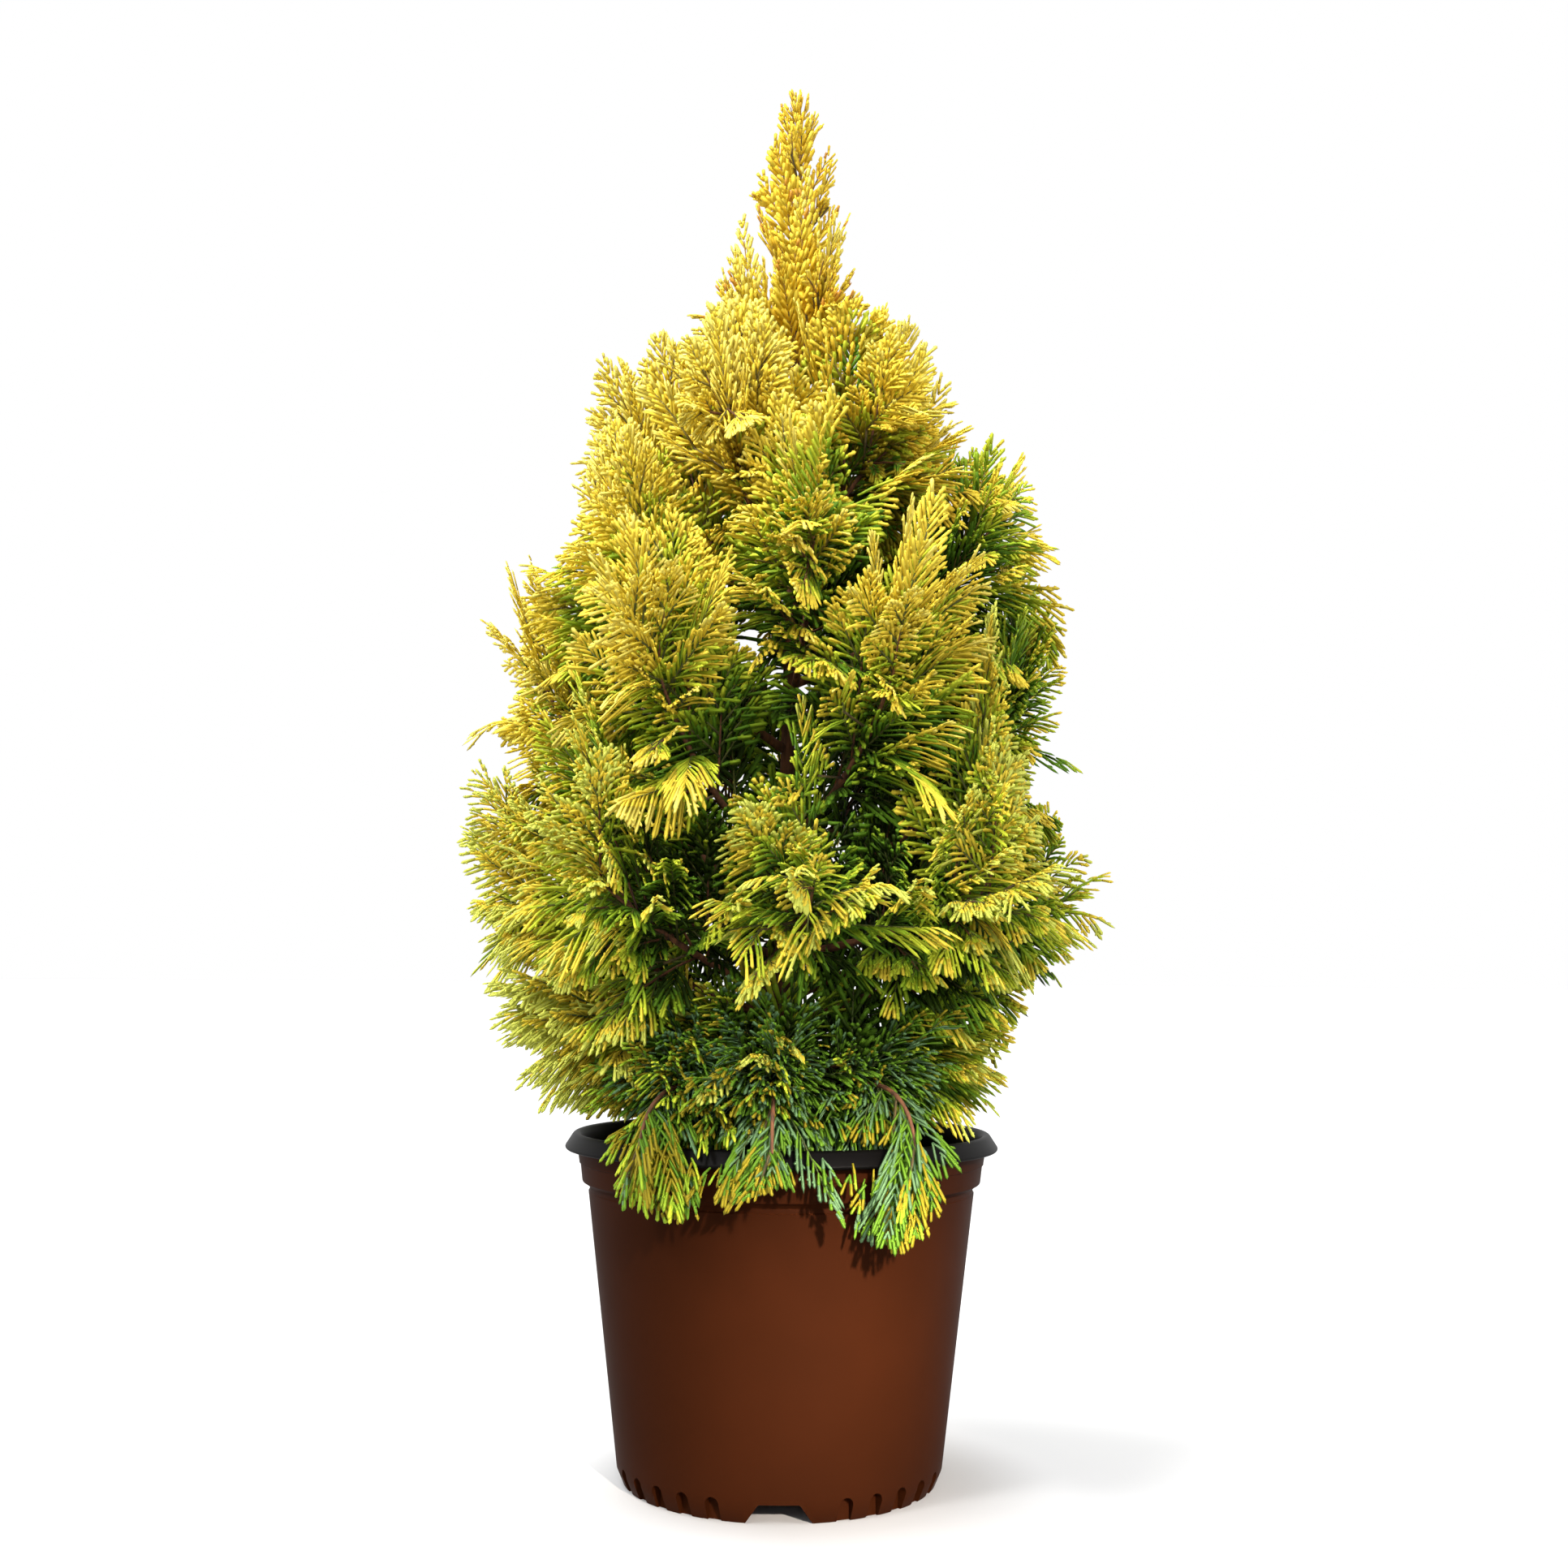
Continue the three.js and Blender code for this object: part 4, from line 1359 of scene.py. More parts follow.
    def feathered(self, stem: Frond) -> list[Frond]:
        """Grows the fronds of one upright shoot, left and right by turns and shorter towards its tip.

        Args:
            stem: The shoot's stem.

        Returns:
            Its fronds and the one that ends it.
        """
        rule, rng = self.feathering, np.random.default_rng(stem.seed)
        count = max(rule.fewest, int(stem.length * (1 - rule.bare) / rule.pitch))
        normal = np.cross(stem.along, stem.across)
        fronds = []
        for i in range(count):
            share = lerp(rule.bare, 1 - rule.end_share / 2, i / (count - 1))
            hand = 1 if i % 2 else -1
            angle = lerp(rule.low_angle, rule.top_angle, share) * rng.uniform(*rule.angle_vary)
            ahead = unit(stem.along + UP * 2 * stem.bend * share)
            sideways = stem.across * hand * math.sin(angle) + normal * rng.normal(0, rule.out_of_plane)
            along = unit(ahead * math.cos(angle) + sideways)
            length = min(rule.frond, stem.length * rule.frond_share) * lerp(1, rule.top_share, share)
            length *= rng.uniform(*rule.frond_vary)
            across = square_to(stem.across * math.cos(angle) - ahead * hand * math.sin(angle), along)
            fronds.append(Frond(stem.point(share), along, across, -rule.sag * rng.random(), length,
                                stem.plume, stem.seed + i + 1))
        ahead = unit(stem.along + UP * 2 * stem.bend)
        fronds.append(Frond(stem.point(1 - rule.end_share), ahead, square_to(stem.across, ahead), 0.0,
                            stem.length * rule.end_share * rule.end_reach, stem.plume, stem.seed))
        return fronds

    def spire_fronds(self, leader: Plume) -> list[Frond]:
        """Grows the sprays round the leader.

        Args:
            leader: The leader plume.

        Returns:
            Its sprays.
        """
        rule, rng = self.spire, np.random.default_rng(self.spire.seed)
        fronds = []
        for i in range(rule.count):
            share = i / (rule.count - 1)
            turn = i * rule.turn + rng.normal(0, rule.turn_vary)
            outward = np.array([math.cos(turn), math.sin(turn), 0.0])
            angle = lerp(rule.low_angle, rule.top_angle, share) * rng.uniform(*rule.vary)
            along = UP * math.cos(angle) + outward * math.sin(angle)
            across = across_of(np.cross(UP, outward), along, rng.uniform(-rule.roll, rule.roll))
            length = lerp(*rule.length, share) * rng.uniform(*rule.vary)
            fronds.append(Frond(leader.point(lerp(rule.first, rule.last, share)), along, across, rule.lift,
                                length, leader, rule.first_seed + i))
        return fronds

    def all_fronds(self) -> list[Frond]:
        """Grows the fronds of every plume."""
        fronds = [frond for i, plume in enumerate(self.plumes) for frond in self.main_fronds(plume, i)]
        fronds += self.spire_fronds(self.plumes[0])
        self.stems = self.upright_stems()
        fronds += [frond for stem in self.stems for frond in self.feathered(stem)]
        return fronds + self.finer_fronds(fronds)


TONES = list(Tone)
SLOTS = list(Slot)


@dataclass
class Strands:
    """The strands of all fronds as arrays: each is a curve with its width, tones and slot."""

    root: np.ndarray
    along: np.ndarray
    bend: np.ndarray
    across: np.ndarray
    length: np.ndarray
    width: np.ndarray
    body: np.ndarray
    tip: np.ndarray
    slot: np.ndarray

    def point(self, share: float | np.ndarray) -> np.ndarray:
        """Points at a share of every strand."""
        t = np.broadcast_to(np.asarray(share, float), self.length.shape)[:, None]
        return self.root + (self.along * t + self.bend * t**2) * self.length[:, None]

    def heading(self, share: float | np.ndarray) -> np.ndarray:
        """Directions at a share of every strand."""
        t = np.broadcast_to(np.asarray(share, float), self.length.shape)[:, None]
        return unit(self.along + 2 * self.bend * t)

    def only(self, keep: np.ndarray) -> "Strands":
        """The strands that a mask keeps."""
        return Strands(*(getattr(self, name)[keep] for name in self.__dataclass_fields__))


@dataclass
class Clearance:
    """Space that leaves keep to: clear of the pot and its fill, in reach, and above the crown's hem.

    The hem is given as headings and heights.
    """

    pot: Pot
    soil_height: float = 200.0
    gap: float = 1.2
    reach: float = 220.0
    hem: tuple[Pair, ...] = (
        (0, 232), (40, 226), (62, 188), (90, 178), (118, 190), (140, 228), (180, 232), (221, 229),
        (232, 188), (246, 176), (258, 184), (268, 198), (277, 196), (286, 170), (295, 160), (303, 178),
        (312, 200), (322, 227))

    def is_free(self, points: np.ndarray) -> np.ndarray:
        """Tells which points lie in the crown's reach and outside the pot."""
        radius = np.hypot(points[:, 0], points[:, 1])
        height = points[:, 2]
        above = height > self.pot.rim_height + self.gap
        inside = (height > self.soil_height + self.gap) & (radius < self.pot.mouth_radius - self.gap)
        outside = radius > self.pot.outer_radius(height) + self.gap
        headings, heights = np.array(self.hem, float).T
        hem = np.interp(np.degrees(np.arctan2(points[:, 1], points[:, 0])), headings, heights, period=360)
        return (above | inside | outside) & (radius < self.reach) & (height > hem)


@dataclass(frozen=True)
class Dealing:
    """Rule by which a frond's strands take their tones, as shares of its palette from dark to bright."""

    seed: int = 5
    plume_vary: float = 0.09
    frond_vary: float = 0.13
    strand_vary: float = 0.04
    # Painted light: fronds on the left, towards the key lamp, take brighter tones and those on the right
    # darker ones.
    painted_side_light: float = 0.22
    painted_light_heading: float = 190.0
    start: float = -0.12
    # Darker tones deep inside the crown: partly the greener inner growth, partly painted shade.
    by_depth: float = 0.75
    outer_from: float = 0.45
    outer_span: float = 0.5
    by_share: float = 0.25
    copper_from: float = 0.7


@dataclass(frozen=True)
class Lobes:
    """Rule for the side lobes. Each row has its place on the strand, its side and the share that have it."""

    seed: int = 7
    rows: tuple[tuple[float, float, float], ...] = ((0.56, 1.0, 0.4), (0.74, -1.0, 0.75))
    shortest: float = 9.0
    lean: float = 0.5
    share: float = 0.22
    limits: Pair = (2.5, 7.0)
    middle: float = 0.72
    half_width: float = 0.42
    height: float = 0.85


def ridge(centre: np.ndarray, across: np.ndarray, heading: np.ndarray, half: np.ndarray,
          high: np.ndarray) -> np.ndarray:
    """Corners of three-sided sections with a flat under side.

    Args:
        centre: Centre of each.
        across: Direction of its flat side.
        heading: Direction that it is square to.
        half: Half its width.
        high: Its height.

    Returns:
        Corners, count by 3 by 3.
    """
    side, rise = across * half[:, None], np.cross(heading, across) * high[:, None]
    return np.stack([centre - side - rise / 3, centre + side - rise / 3, centre + rise * 2 / 3], 1)


@dataclass
class Leafing:
    """Grows the strands of the fronds, and turns them into pieces of one tone each.

    A strand is two blades: its body, and its tip in another tone. The body runs on inside the tip.
    """

    crown: Crown
    is_free: Callable[[np.ndarray], np.ndarray]
    dealing: Dealing = Dealing()
    lobe: Lobes = Lobes()
    thickness: float = 0.5
    first: float = 0.08
    scatter: float = 0.15
    fewest_pairs: int = 5
    inner_spacing: float = 1.6
    inner_width: float = 0.5
    spacing_from: float = 0.4
    width_to: float = 0.75
    inner_span: float = 0.4
    out_of_plane: float = 0.07
    foot_share: float = 0.3
    full_from: float = 0.45
    taper: float = 0.6
    small: float = 0.2
    full_frond: float = 80.0
    angle_vary: Pair = (0.93, 1.07)
    length_vary: Pair = (0.85, 1.12)
    droop_vary: Pair = (0.75, 1.15)
    width_vary: Pair = (0.85, 1.1)
    slack: Pair = (0.0, 0.16)
    shares: tuple[float, ...] = (1.0, 0.8, 0.6, 0.4)
    probes: tuple[float, ...] = (0.25, 0.5, 0.75, 1.0)
    shortest: float = 4.0
    body: tuple[Pair, ...] = ((0.0, 0.6), (0.42, 0.95))
    body_end: float = 0.82
    tip: tuple[Pair, ...] = ((0.5, 0.82), (0.92, 1.0))
    materials: dict[Tone, bpy.types.Material] = field(default_factory=dict)

    BLADE = np.array([(0, 2, 1), (0, 1, 4), (1, 2, 5), (2, 0, 3), (0, 4, 3), (1, 5, 4), (2, 3, 5),
                      (3, 4, 6), (4, 5, 6), (5, 3, 6)])
    LENS = np.array([(1, 0, 3), (2, 1, 3), (0, 2, 3), (0, 1, 4), (1, 2, 4), (2, 0, 4)])

    def strands_of(self, frond: Frond, mood: float) -> list[np.ndarray]:
        """Grows the strands of one frond.

        Args:
            frond: The frond.
            mood: How much brighter its plume is than others.

        Returns:
            The fields of its strands, in the order of Strands.
        """
        habit, rng = frond.plume.ring.habit, np.random.default_rng(frond.seed)
        depth = self.crown.depth(frond.point(np.array([1.0])))[0]
        outer = float(np.clip((min(1.0, depth) - self.spacing_from) / self.inner_span, 0, 1))
        spacing = habit.spacing * lerp(self.inner_spacing, 1.0, outer)
        pairs = max(self.fewest_pairs, int(frond.length * (1 - self.first) / spacing))
        u = np.repeat(np.linspace(self.first, 1, pairs), 2)
        u = np.clip(u + rng.normal(0, self.scatter / pairs, len(u)), 0, 1)
        hand = np.tile([-1.0, 1.0], pairs)
        count = len(u)
        angle = lerp(habit.low_angle, habit.top_angle, u) * rng.uniform(*self.angle_vary, count)
        normal = np.cross(frond.along, frond.across)
        lift = rng.normal(0, self.out_of_plane, count)
        sideways = frond.across * (hand * np.sin(angle))[:, None]
        rib = unit(frond.along + UP * 2 * frond.bend * u[:, None])
        along = unit(rib * np.cos(angle)[:, None] + sideways + normal * lift[:, None])
        profile = np.minimum(1, (u + self.foot_share) / self.full_from) * (1 - self.taper * u**2)
        size = min(1.0, lerp(self.small, 1.0, frond.length / self.full_frond))
        length = habit.strand * size * profile * rng.uniform(*self.length_vary, count)
        level = np.hypot(along[:, 0], along[:, 1])
        bend = rib * habit.curl - UP * (habit.droop * level * rng.uniform(*self.droop_vary, count))[:, None]
        across = unit(np.cross(np.broadcast_to(normal, along.shape), along))
        inner = np.clip((self.width_to - self.crown.depth(frond.point(u))) / self.inner_span, 0, 1)
        width = habit.width * (1 + self.inner_width * inner) * rng.uniform(*self.width_vary, count)
        body, tips = self.tones_of(frond, u, mood, rng)
        slot = np.full(count, SLOTS.index(frond.plume.ring.slot))
        return [frond.point(u), along, bend, across, length, width, body, tips, slot]

    def tones_of(self, frond: Frond, u: np.ndarray, mood: float,
                 rng: np.random.Generator) -> tuple[np.ndarray, np.ndarray]:
        """Deals out the tones of a frond's strands: darker inside, partly as painted shade, brighter towards
        its end, and brighter on the left as painted light.

        Args:
            frond: The frond.
            u: Where on the frond each strand is rooted.
            mood: How much brighter its plume is than others.
            rng: The frond's own random numbers.

        Returns:
            Numbers of the tones of the strands' bodies and of their tips.
        """
        habit, rule, tip = frond.plume.ring.habit, self.dealing, frond.point(1.0)
        # Painted light and shade: brighter tones on the left, darker ones on the right.
        painted_side_light = rule.painted_side_light * math.cos(math.atan2(tip[1], tip[0]) - math.radians(rule.painted_light_heading))
        whole = mood + painted_side_light + rng.normal(0, rule.frond_vary) + habit.glow
        # Strands deep inside the crown take darker tones: partly the greener inner growth, partly painted
        # shade.
        outer = np.clip((self.crown.depth(frond.point(u)) - rule.outer_from) / rule.outer_span, 0, 1)
        score = rule.start + rule.by_depth * outer + rule.by_share * u + whole
        score = score + rng.normal(0, rule.strand_vary, len(u))
        last = len(habit.tones) - 1
        body = np.clip(np.round(score * last), 0, last - 1).astype(int)
        numbers = np.array([TONES.index(tone) for tone in habit.tones])
        tips = numbers[body + 1]
        tips[rng.random(len(u)) < habit.copper * (u > rule.copper_from)] = TONES.index(Tone.COPPER)
        return numbers[body], tips

    def grow(self, fronds: list[Frond]) -> Strands:
        """Grows the strands of all fronds and leaves out those that touch something.

        Args:
            fronds: The fronds.

        Returns:
            All strands.
        """
        moods, rows, rng = {}, [], np.random.default_rng(self.dealing.seed)
        for frond in fronds:
            mood = moods.setdefault(frond.plume.name, rng.normal(0, self.dealing.plume_vary))
            rows.append(self.strands_of(frond, mood))
        strands = Strands(*(np.concatenate([row[i] for row in rows]) for i in range(len(rows[0]))))
        slack = rng.uniform(*self.slack, len(strands.length))
        full, size = strands.length, np.zeros(len(strands.length))
        for share in self.shares:
            strands.length = full * share
            keep = np.all([self.is_free(strands.point(t)) for t in self.probes], axis=0)
            keep &= self.crown.holds(strands.point(1.0), slack)
            size = np.where(keep & (size == 0), strands.length, size)
        strands.length = size
        return strands.only(size > self.shortest)

    def section(self, strands: Strands, share: float, wide: float) -> np.ndarray:
        """Three corners round every strand, at a share of it and with a share of its width."""
        heading, width = strands.heading(share), strands.width * wide
        across = square_to(strands.across, heading)
        return ridge(strands.point(share), across, heading, width / 2, width * self.thickness)

    def blades(self, strands: Strands, rings: Sequence[Pair], end: float) -> np.ndarray:
        """Shapes of blades with two sections and a point.

        Args:
            strands: The strands.
            rings: The share of the strands at which each section lies, and its share of their width.
            end: The share at which the point lies.

        Returns:
            Corners, count by 7 by 3.
        """
        sections = [self.section(strands, share, wide) for share, wide in rings]
        return np.concatenate([*sections, strands.point(end)[:, None]], 1)

    def lobes(self, strands: Strands, share: float, hand: np.ndarray) -> np.ndarray:
        """Shapes of the side lobes near the strands' ends.

        Args:
            strands: The strands.
            share: Where on the strands they are rooted.
            hand: 1 for one side and -1 for the other, for each strand.

        Returns:
            Corners, count by 5 by 3.
        """
        rule, root, heading = self.lobe, strands.point(share), strands.heading(share)
        across = square_to(strands.across, heading)
        along = unit(heading + across * hand * rule.lean)
        length = np.clip(strands.length * rule.share, *rule.limits)[:, None]
        ring = ridge(root + along * length * rule.middle, square_to(across, along), along,
                     strands.width * rule.half_width, strands.width * self.thickness * rule.height)
        return np.concatenate([ring, root[:, None], (root + along * length)[:, None]], 1)

    def build(self, strands: Strands, nodes: dict[Slot, list[str]]) -> None:
        """Builds and dresses one piece for each tone of each slot.

        Args:
            strands: All strands.
            nodes: Names of the solids of each slot.
        """
        rng = np.random.default_rng(self.lobe.seed)
        forked = strands.length > self.lobe.shortest
        hand = np.where(rng.random(len(forked)) < 0.5, 1.0, -1.0)
        sets = [(self.blades(strands, self.body, self.body_end), self.BLADE, strands.body, strands.slot),
                (self.blades(strands, self.tip, 1.0), self.BLADE, strands.tip, strands.slot)]
        for share, side, chance in self.lobe.rows:
            chosen = forked & (rng.random(len(forked)) < chance)
            some = strands.only(chosen)
            lobes = self.lobes(some, share, (hand[chosen] * side)[:, None])
            sets.append((lobes, self.LENS, some.tip, some.slot))
        for (s, slot), (t, tone) in itertools.product(enumerate(SLOTS), enumerate(TONES)):
            own = [(shapes[(tones == t) & (slots == s)], faces) for shapes, faces, tones, slots in sets]
            if any(len(shapes) for shapes, _ in own):
                if tone not in self.materials:
                    self.materials[tone] = ScaleLeaf(tone).material()
                piece = joined(f"{slot.name.lower()}_leaves_{tone.name.lower()}", own)
                settle(piece, self.materials[tone], nodes[slot])


@dataclass
class Ribs:
    """Ribs of the fronds, stems of the upright shoots and side twigs: three-sided and tapering."""

    crown: Crown
    is_free: Callable[[np.ndarray], np.ndarray]
    steps: int = 4
    trials: int = 10
    radius: float = 1.0
    tip_radius: float = 0.45
    twig_radius: float = 1.1
    rib_part: float = 0.9
    stem_part: float = 0.88
    shade: str = "#3f3a14"

    COLOURS = {Slot.GOLD: "#a5761c", Slot.YELLOW: "#8c7a24", Slot.LIME: "#5f6a22", Slot.GREEN: "#46601f"}

    def reach(self, frond: Frond) -> float:
        """Share of a frond up to which its rib keeps inside the crown and clear of the pot."""
        shares = np.linspace(0, 1, self.trials + 1)[1:]
        points = frond.point(shares)
        inside = self.crown.holds(points) & self.is_free(points)
        return float(shares[np.argmin(inside)] - 1 / self.trials if not inside.all() else 1.0)

    def line_of(self, frond: Frond, part: float) -> np.ndarray:
        """Points of a frond's rib up to a part of its reach."""
        return frond.point(np.linspace(0, part * max(self.reach(frond), 1 / self.trials), self.steps + 1))

    def tubes(self, line: np.ndarray, radius: np.ndarray,
              across: np.ndarray) -> tuple[np.ndarray, np.ndarray]:
        """Shapes of tubes along lines.

        Args:
            line: Points of the lines, count by rings by 3.
            radius: Radius at each ring.
            across: A direction across each line.

        Returns:
            Corners, count by corners by 3, and the pattern of triangles of one tube.
        """
        heading = unit(line[:, -1] - line[:, 0])
        flat = square_to(across, heading)
        normal = np.cross(heading, flat)
        rings = []
        for i in range(line.shape[1]):
            for turn in (math.radians(a) for a in (210, 330, 90)):
                rings.append(line[:, i] + (flat * math.cos(turn) + normal * math.sin(turn)) * radius[i])
        last = 3 * (line.shape[1] - 1)
        pattern = [(0, 2, 1), (last, last + 1, last + 2)]
        for low in range(0, last, 3):
            for i in range(3):
                j = (i + 1) % 3
                pattern += [(low + i, low + j, low + j + 3), (low + i, low + j + 3, low + i + 3)]
        return np.stack(rings, 1), np.array(pattern)

    def dress(self, name: str, fronds: list[Frond], part: float, radius: np.ndarray, finish: Bark) -> None:
        """Builds and dresses one piece of ribs or stems.

        Args:
            name: The piece's name.
            fronds: The fronds or stems.
            part: The part of their reach that the ribs run along.
            radius: Radius at each ring.
            finish: The finish.
        """
        line = np.array([self.line_of(frond, part) for frond in fronds])
        shapes = self.tubes(line, radius, np.array([frond.across for frond in fronds]))
        settle(joined(name, [shapes]), finish.material(), [])

    def build(self, fronds: list[Frond], stems: list[Frond],
              twigs: list[tuple[np.ndarray, np.ndarray, Plume]]) -> None:
        """Builds and dresses the ribs of each slot, the upright shoots' stems and all side twigs.

        Args:
            fronds: All fronds.
            stems: Stems of the upright shoots.
            twigs: Ends of the side twigs and their plumes.
        """
        radius = np.linspace(self.radius, self.tip_radius, self.steps + 1)
        for slot in SLOTS:
            own = [frond for frond in fronds if frond.plume.ring.slot is slot]
            finish = Bark(f"green_shoot_{slot.name.lower()}", self.COLOURS[slot], self.shade,
                          fibre_mm=4.0, stretch=1.0)
            self.dress(f"{slot.name.lower()}_twigs", own, self.rib_part, radius, finish)
        thick = radius * self.twig_radius
        self.dress("upright_stems", stems, self.stem_part, thick, Bark("shoot_bark"))
        line = np.array([[root, end] for root, end, _ in twigs])
        side = np.array([plume.side() for _, _, plume in twigs])
        shapes = self.tubes(line, np.array([self.twig_radius, self.radius]), side)
        finish = Bark("twig_bark", "#6d5a30", "#39331a")
        settle(joined("side_twigs", [shapes]), finish.material(), [])


@dataclass
class Wood:
    """Trunk, boughs and stems with the relief of their bark."""

    trunk: Trunk
    plumes: list[Plume]
    relief: float = 0.7
    furrow_mm: float = 6.0
    bough_radius: Pair = (3.4, 2.2)
    stem_radius: Pair = (2.3, 0.9)
    stem_lap: float = 0.02
    trunk_rings: int = 260
    trunk_sides: int = 34
    crowding: float = 1.4
    limb_rings: int = 36
    limb_sides: int = 14
    furrow_detail: int = 3
    furrow_level: float = 0.6

    def limb(self, name: str, line: np.ndarray, radii: np.ndarray, sides: int) -> bpy.types.Object:
        """Models a limb as a round curve with a taper.

        Args:
            name: The piece's name.
            line: Points of its centre line in millimetres.
            radii: Its radius at each point.
            sides: How many sides it has, an even number.

        Returns:
            The limb as a mesh, its object at the origin.
        """
        deselect_all()
        bpy.ops.curve.primitive_nurbs_path_add()
        limb = bpy.context.object
        curve = limb.data
        curve.splines.clear()
        spline = curve.splines.new("POLY")
        spline.points.add(len(line) - 1)
        flat = np.concatenate([line * MM, np.ones((len(line), 1))], 1)
        spline.points.foreach_set("co", flat.astype(np.float32).ravel())
        spline.points.foreach_set("radius", (radii * MM).astype(np.float32))
        curve.dimensions, curve.bevel_depth, curve.use_fill_caps = "3D", 1.0, True
        curve.bevel_resolution = sides // 2 - 2
        bpy.ops.object.convert(target="MESH")
        limb = bpy.context.object
        limb.name = limb.data.name = name
        return limb

    def relieved(self, name: str, limbs: list[bpy.types.Object], relief: float) -> bpy.types.Object:
        """Joins limbs and presses furrows into their bark.

        Args:
            name: The joined piece's name.
            limbs: The limbs.
            relief: Depth of the furrows in millimetres.

        Returns:
            The joined piece.
        """
        select_only(*limbs)
        if len(limbs) > 1:
            bpy.ops.object.join()
        piece = bpy.context.object
        piece.name = piece.data.name = name
        furrows = bpy.data.textures.new(f"{name}_furrows", "CLOUDS")
        furrows.noise_scale, furrows.noise_depth = self.furrow_mm * MM, self.furrow_detail
        push = piece.modifiers.new("furrows", "DISPLACE")
        push.texture, push.strength, push.mid_level = furrows, relief * MM, self.furrow_level
        push.texture_coords = "LOCAL"
        bpy.ops.object.modifier_apply(modifier=push.name)
        bpy.ops.object.shade_smooth()
        return piece

    def trunk_limb(self) -> bpy.types.Object:
        """Models the trunk with its root flare."""
        share = np.linspace(0, 1, self.trunk_rings) ** self.crowding
        heights = lerp(self.trunk.foot_height, self.trunk.tip_height, share)
        line = np.array([self.trunk.centre(h) for h in heights])
        radii = np.array([self.trunk.radius_at(h) for h in heights])
        return self.limb("trunk_bark", line, radii, self.trunk_sides)

    def stretch(self, plume: Plume, start: float, end: float, radii: Pair) -> bpy.types.Object:
        """Models a limb along a stretch of a plume's curve."""
        share = np.linspace(start, end, self.limb_rings)
        taper = np.linspace(*radii, self.limb_rings)
        return self.limb(f"{plume.name}_wood", plume.point(share), taper, self.limb_sides)

    def build(self) -> None:
        """Builds and dresses the trunk, the boughs and the stems."""
        material = Bark().material()
        trunk = self.relieved("trunk_bark", [self.trunk_limb()], 2 * self.relief)
        settle(trunk, material, ["trunk"])
        bearing = [plume for plume in self.plumes if plume.ring.bough > 0]
        boughs = [self.stretch(plume, 0, plume.ring.bough, self.bough_radius) for plume in bearing]
        piece = self.relieved("bough_bark", boughs, self.relief)
        settle(piece, material, [plume.bough_name for plume in bearing])
        stems = [self.stretch(plume, plume.stem_start(), plume.stem_end() + self.stem_lap, self.stem_radius)
                 for plume in self.plumes]
        settle(self.relieved("stem_bark", stems, self.relief / 2), material, [])


@dataclass(frozen=True)
class Softbox:
    """A soft lamp aimed at the axis: watts, degrees, metres and the width of its beam in degrees."""

    name: str
    power: float
    heading: float
    elevation: float
    aim: float
    cone: float
    radius: float
    away: float = 3.0
    blend: float = 0.35
    colour: str = "#ffffff"

    def build(self) -> None:
        """Sets up the lamp."""
        data = bpy.data.lights.new(self.name, "SPOT")
        data.color = linear(self.colour)[:3]
        data.energy, data.shadow_soft_size = self.power, self.radius
        data.spot_size, data.spot_blend = math.radians(self.cone), self.blend
        lamp = bpy.data.objects.new(self.name, data)
        turn, rise = math.radians(self.heading), math.radians(self.elevation)
        flat = self.away * math.cos(rise)
        lamp.location = (flat * math.cos(turn), flat * math.sin(turn), self.aim + self.away * math.sin(rise))
        lamp.rotation_euler = (math.pi / 2 - rise, 0, turn + math.pi / 2)
        bpy.context.scene.collection.objects.link(lamp)


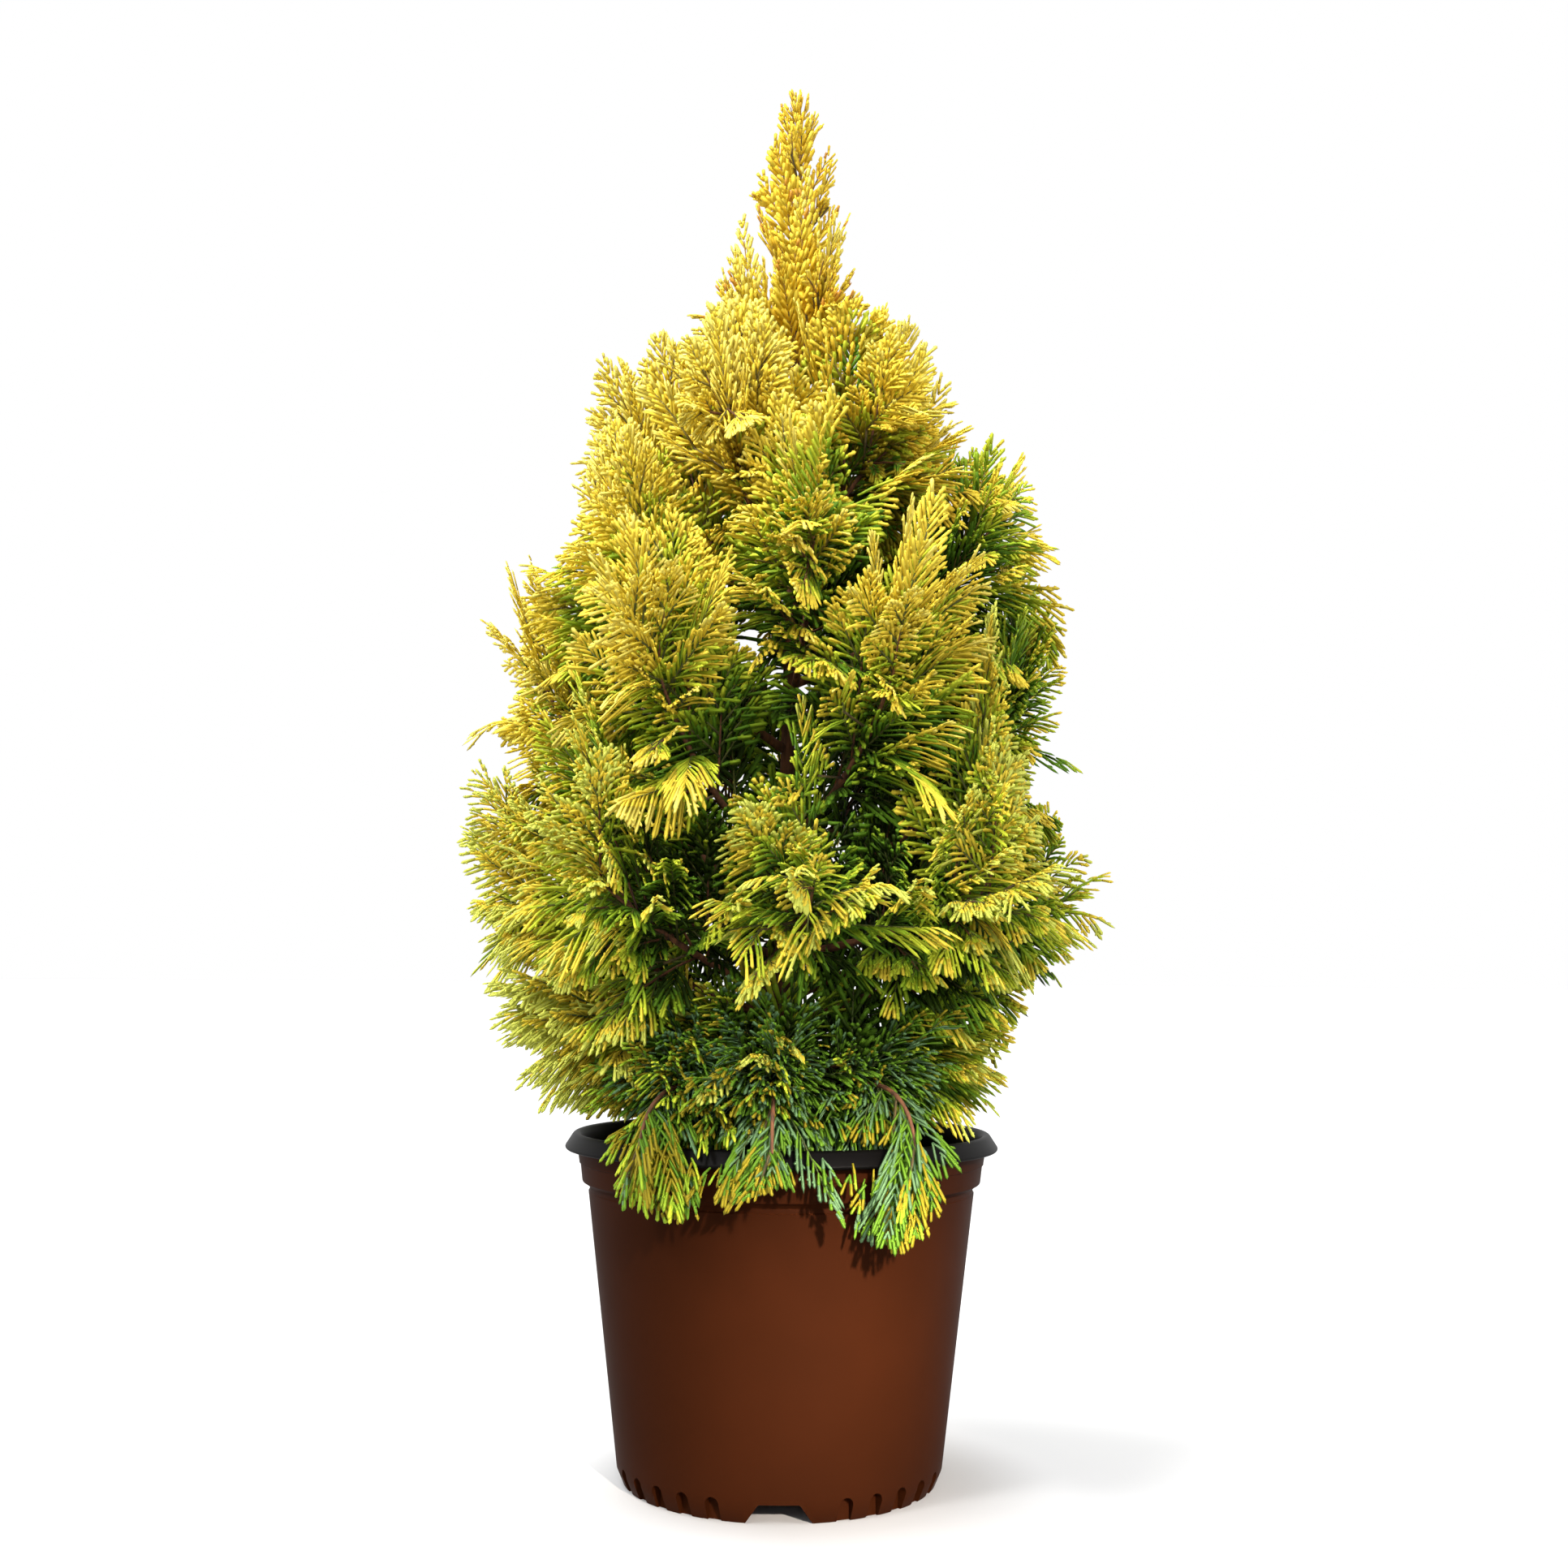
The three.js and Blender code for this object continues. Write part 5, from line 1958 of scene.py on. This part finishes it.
@dataclass
class Studio:
    """A pale floor, soft light from the front left, and the photograph's camera."""

    distance: float = 1.2
    height: float = 0.3244
    pitch: float = 5.863
    roll: float = 0.4
    focal_px: float = 2226.0
    image_px: float = 1932.0
    sensor_mm: float = 36.0
    floor_radius: float = 40.0
    floor_sides: int = 96
    clip: Pair = (0.05, 200.0)
    sky_light: float = 1.3
    top_light: float = 1.5
    top_heading: float = 168.0
    top_elevation: float = 68.0
    top_width: float = 16.0
    softboxes: tuple[Softbox, ...] = (
        Softbox("key", 900, 222, 40, 0.76, 15, 0.5),
        Softbox("front", 330, 276, 28, 0.68, 15, 0.6),
        Softbox("pot_low", 1350, 291, 24, 0.03, 4.2, 0.1, blend=1.0, colour="#fff0e2"),
        Softbox("pot_high", 1350, 291, 24, 0.08, 4.2, 0.1, blend=1.0, colour="#fff0e2"),
    )

    def camera(self) -> None:
        """Sets up the camera."""
        data = bpy.data.cameras.new("camera")
        data.sensor_width = self.sensor_mm
        data.lens = self.focal_px / self.image_px * self.sensor_mm
        data.clip_start, data.clip_end = self.clip
        camera = bpy.data.objects.new("camera", data)
        camera.rotation_mode = "XYZ"
        bpy.context.scene.collection.objects.link(camera)
        tilt, roll = math.radians(90 + self.pitch), math.radians(self.roll)
        place = Matrix.Translation((0, -self.distance, self.height))
        camera.matrix_world = place @ Matrix.Rotation(tilt, 4, "X") @ Matrix.Rotation(roll, 4, "Z")
        bpy.context.scene.camera = camera

    def floor(self) -> None:
        """Lays the floor."""
        deselect_all()
        bpy.ops.mesh.primitive_circle_add(
            vertices=self.floor_sides, radius=self.floor_radius, fill_type="NGON")
        floor = bpy.context.object
        floor.name = "floor"
        floor.data.materials.append(BacklitAcrylic().material())
        floor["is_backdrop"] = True

    def sky(self) -> None:
        """Sets the surroundings: white to look at, and a soft light all round."""
        world = bpy.data.worlds.new("studio")
        bpy.context.scene.world = world
        world.use_nodes = True
        tree = world.node_tree
        tree.nodes.clear()
        path = add_node(tree, "ShaderNodeLightPath")
        strength = add_node(tree, "ShaderNodeMapRange", {
            "Value": path.outputs["Is Camera Ray"], "To Min": self.sky_light, "To Max": 1.0})
        surroundings = add_node(tree, "ShaderNodeBackground", {
            "Color": (1.0, 1.0, 1.0, 1.0), "Strength": strength.outputs[0]})
        add_node(tree, "ShaderNodeOutputWorld", {"Surface": surroundings.outputs[0]})

    def overhead(self) -> None:
        """Sets up the wide soft light from above and behind on the left."""
        data = bpy.data.lights.new("overhead", "SUN")
        data.energy, data.angle = self.top_light, math.radians(self.top_width)
        lamp = bpy.data.objects.new("overhead", data)
        lamp.rotation_euler = (math.radians(90 - self.top_elevation), 0, math.radians(self.top_heading + 90))
        bpy.context.scene.collection.objects.link(lamp)

    def build(self) -> None:
        """Sets up the camera, the floor and the lights."""
        self.camera()
        self.floor()
        self.sky()
        self.overhead()
        for lamp in self.softboxes:
            lamp.build()
        bpy.context.scene.view_settings.view_transform = "Standard"


def main() -> None:
    """Builds every piece in order."""
    logging.basicConfig(level=logging.INFO, format="%(message)s")
    Studio().build()
    pot = Pot()
    pot.build()
    PottingMix().build()
    trunk = Trunk()
    plumes = plumes_of(trunk)
    crown = Crown(np.array([plume.marks[2] for plume in plumes]))
    Wood(trunk, plumes).build()
    clearance = Clearance(pot)
    budding = Budding(plumes, crown, clearance.is_free)
    fronds = budding.all_fronds()
    log.info("fronds: %d", len(fronds))
    leafing = Leafing(crown, clearance.is_free)
    strands = leafing.grow(fronds)
    log.info("strands: %d", len(strands.length))
    nodes = {slot: [plume.name for plume in plumes if plume.ring.slot is slot] for slot in Slot}
    leafing.build(strands, nodes)
    Ribs(crown, clearance.is_free).build(fronds, budding.stems, budding.twigs)
    total = sum(len(p.vertices) - 2 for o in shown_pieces() for p in o.data.polygons)
    log.info("triangles: %d", total)


if __name__ == "__main__":
    main()
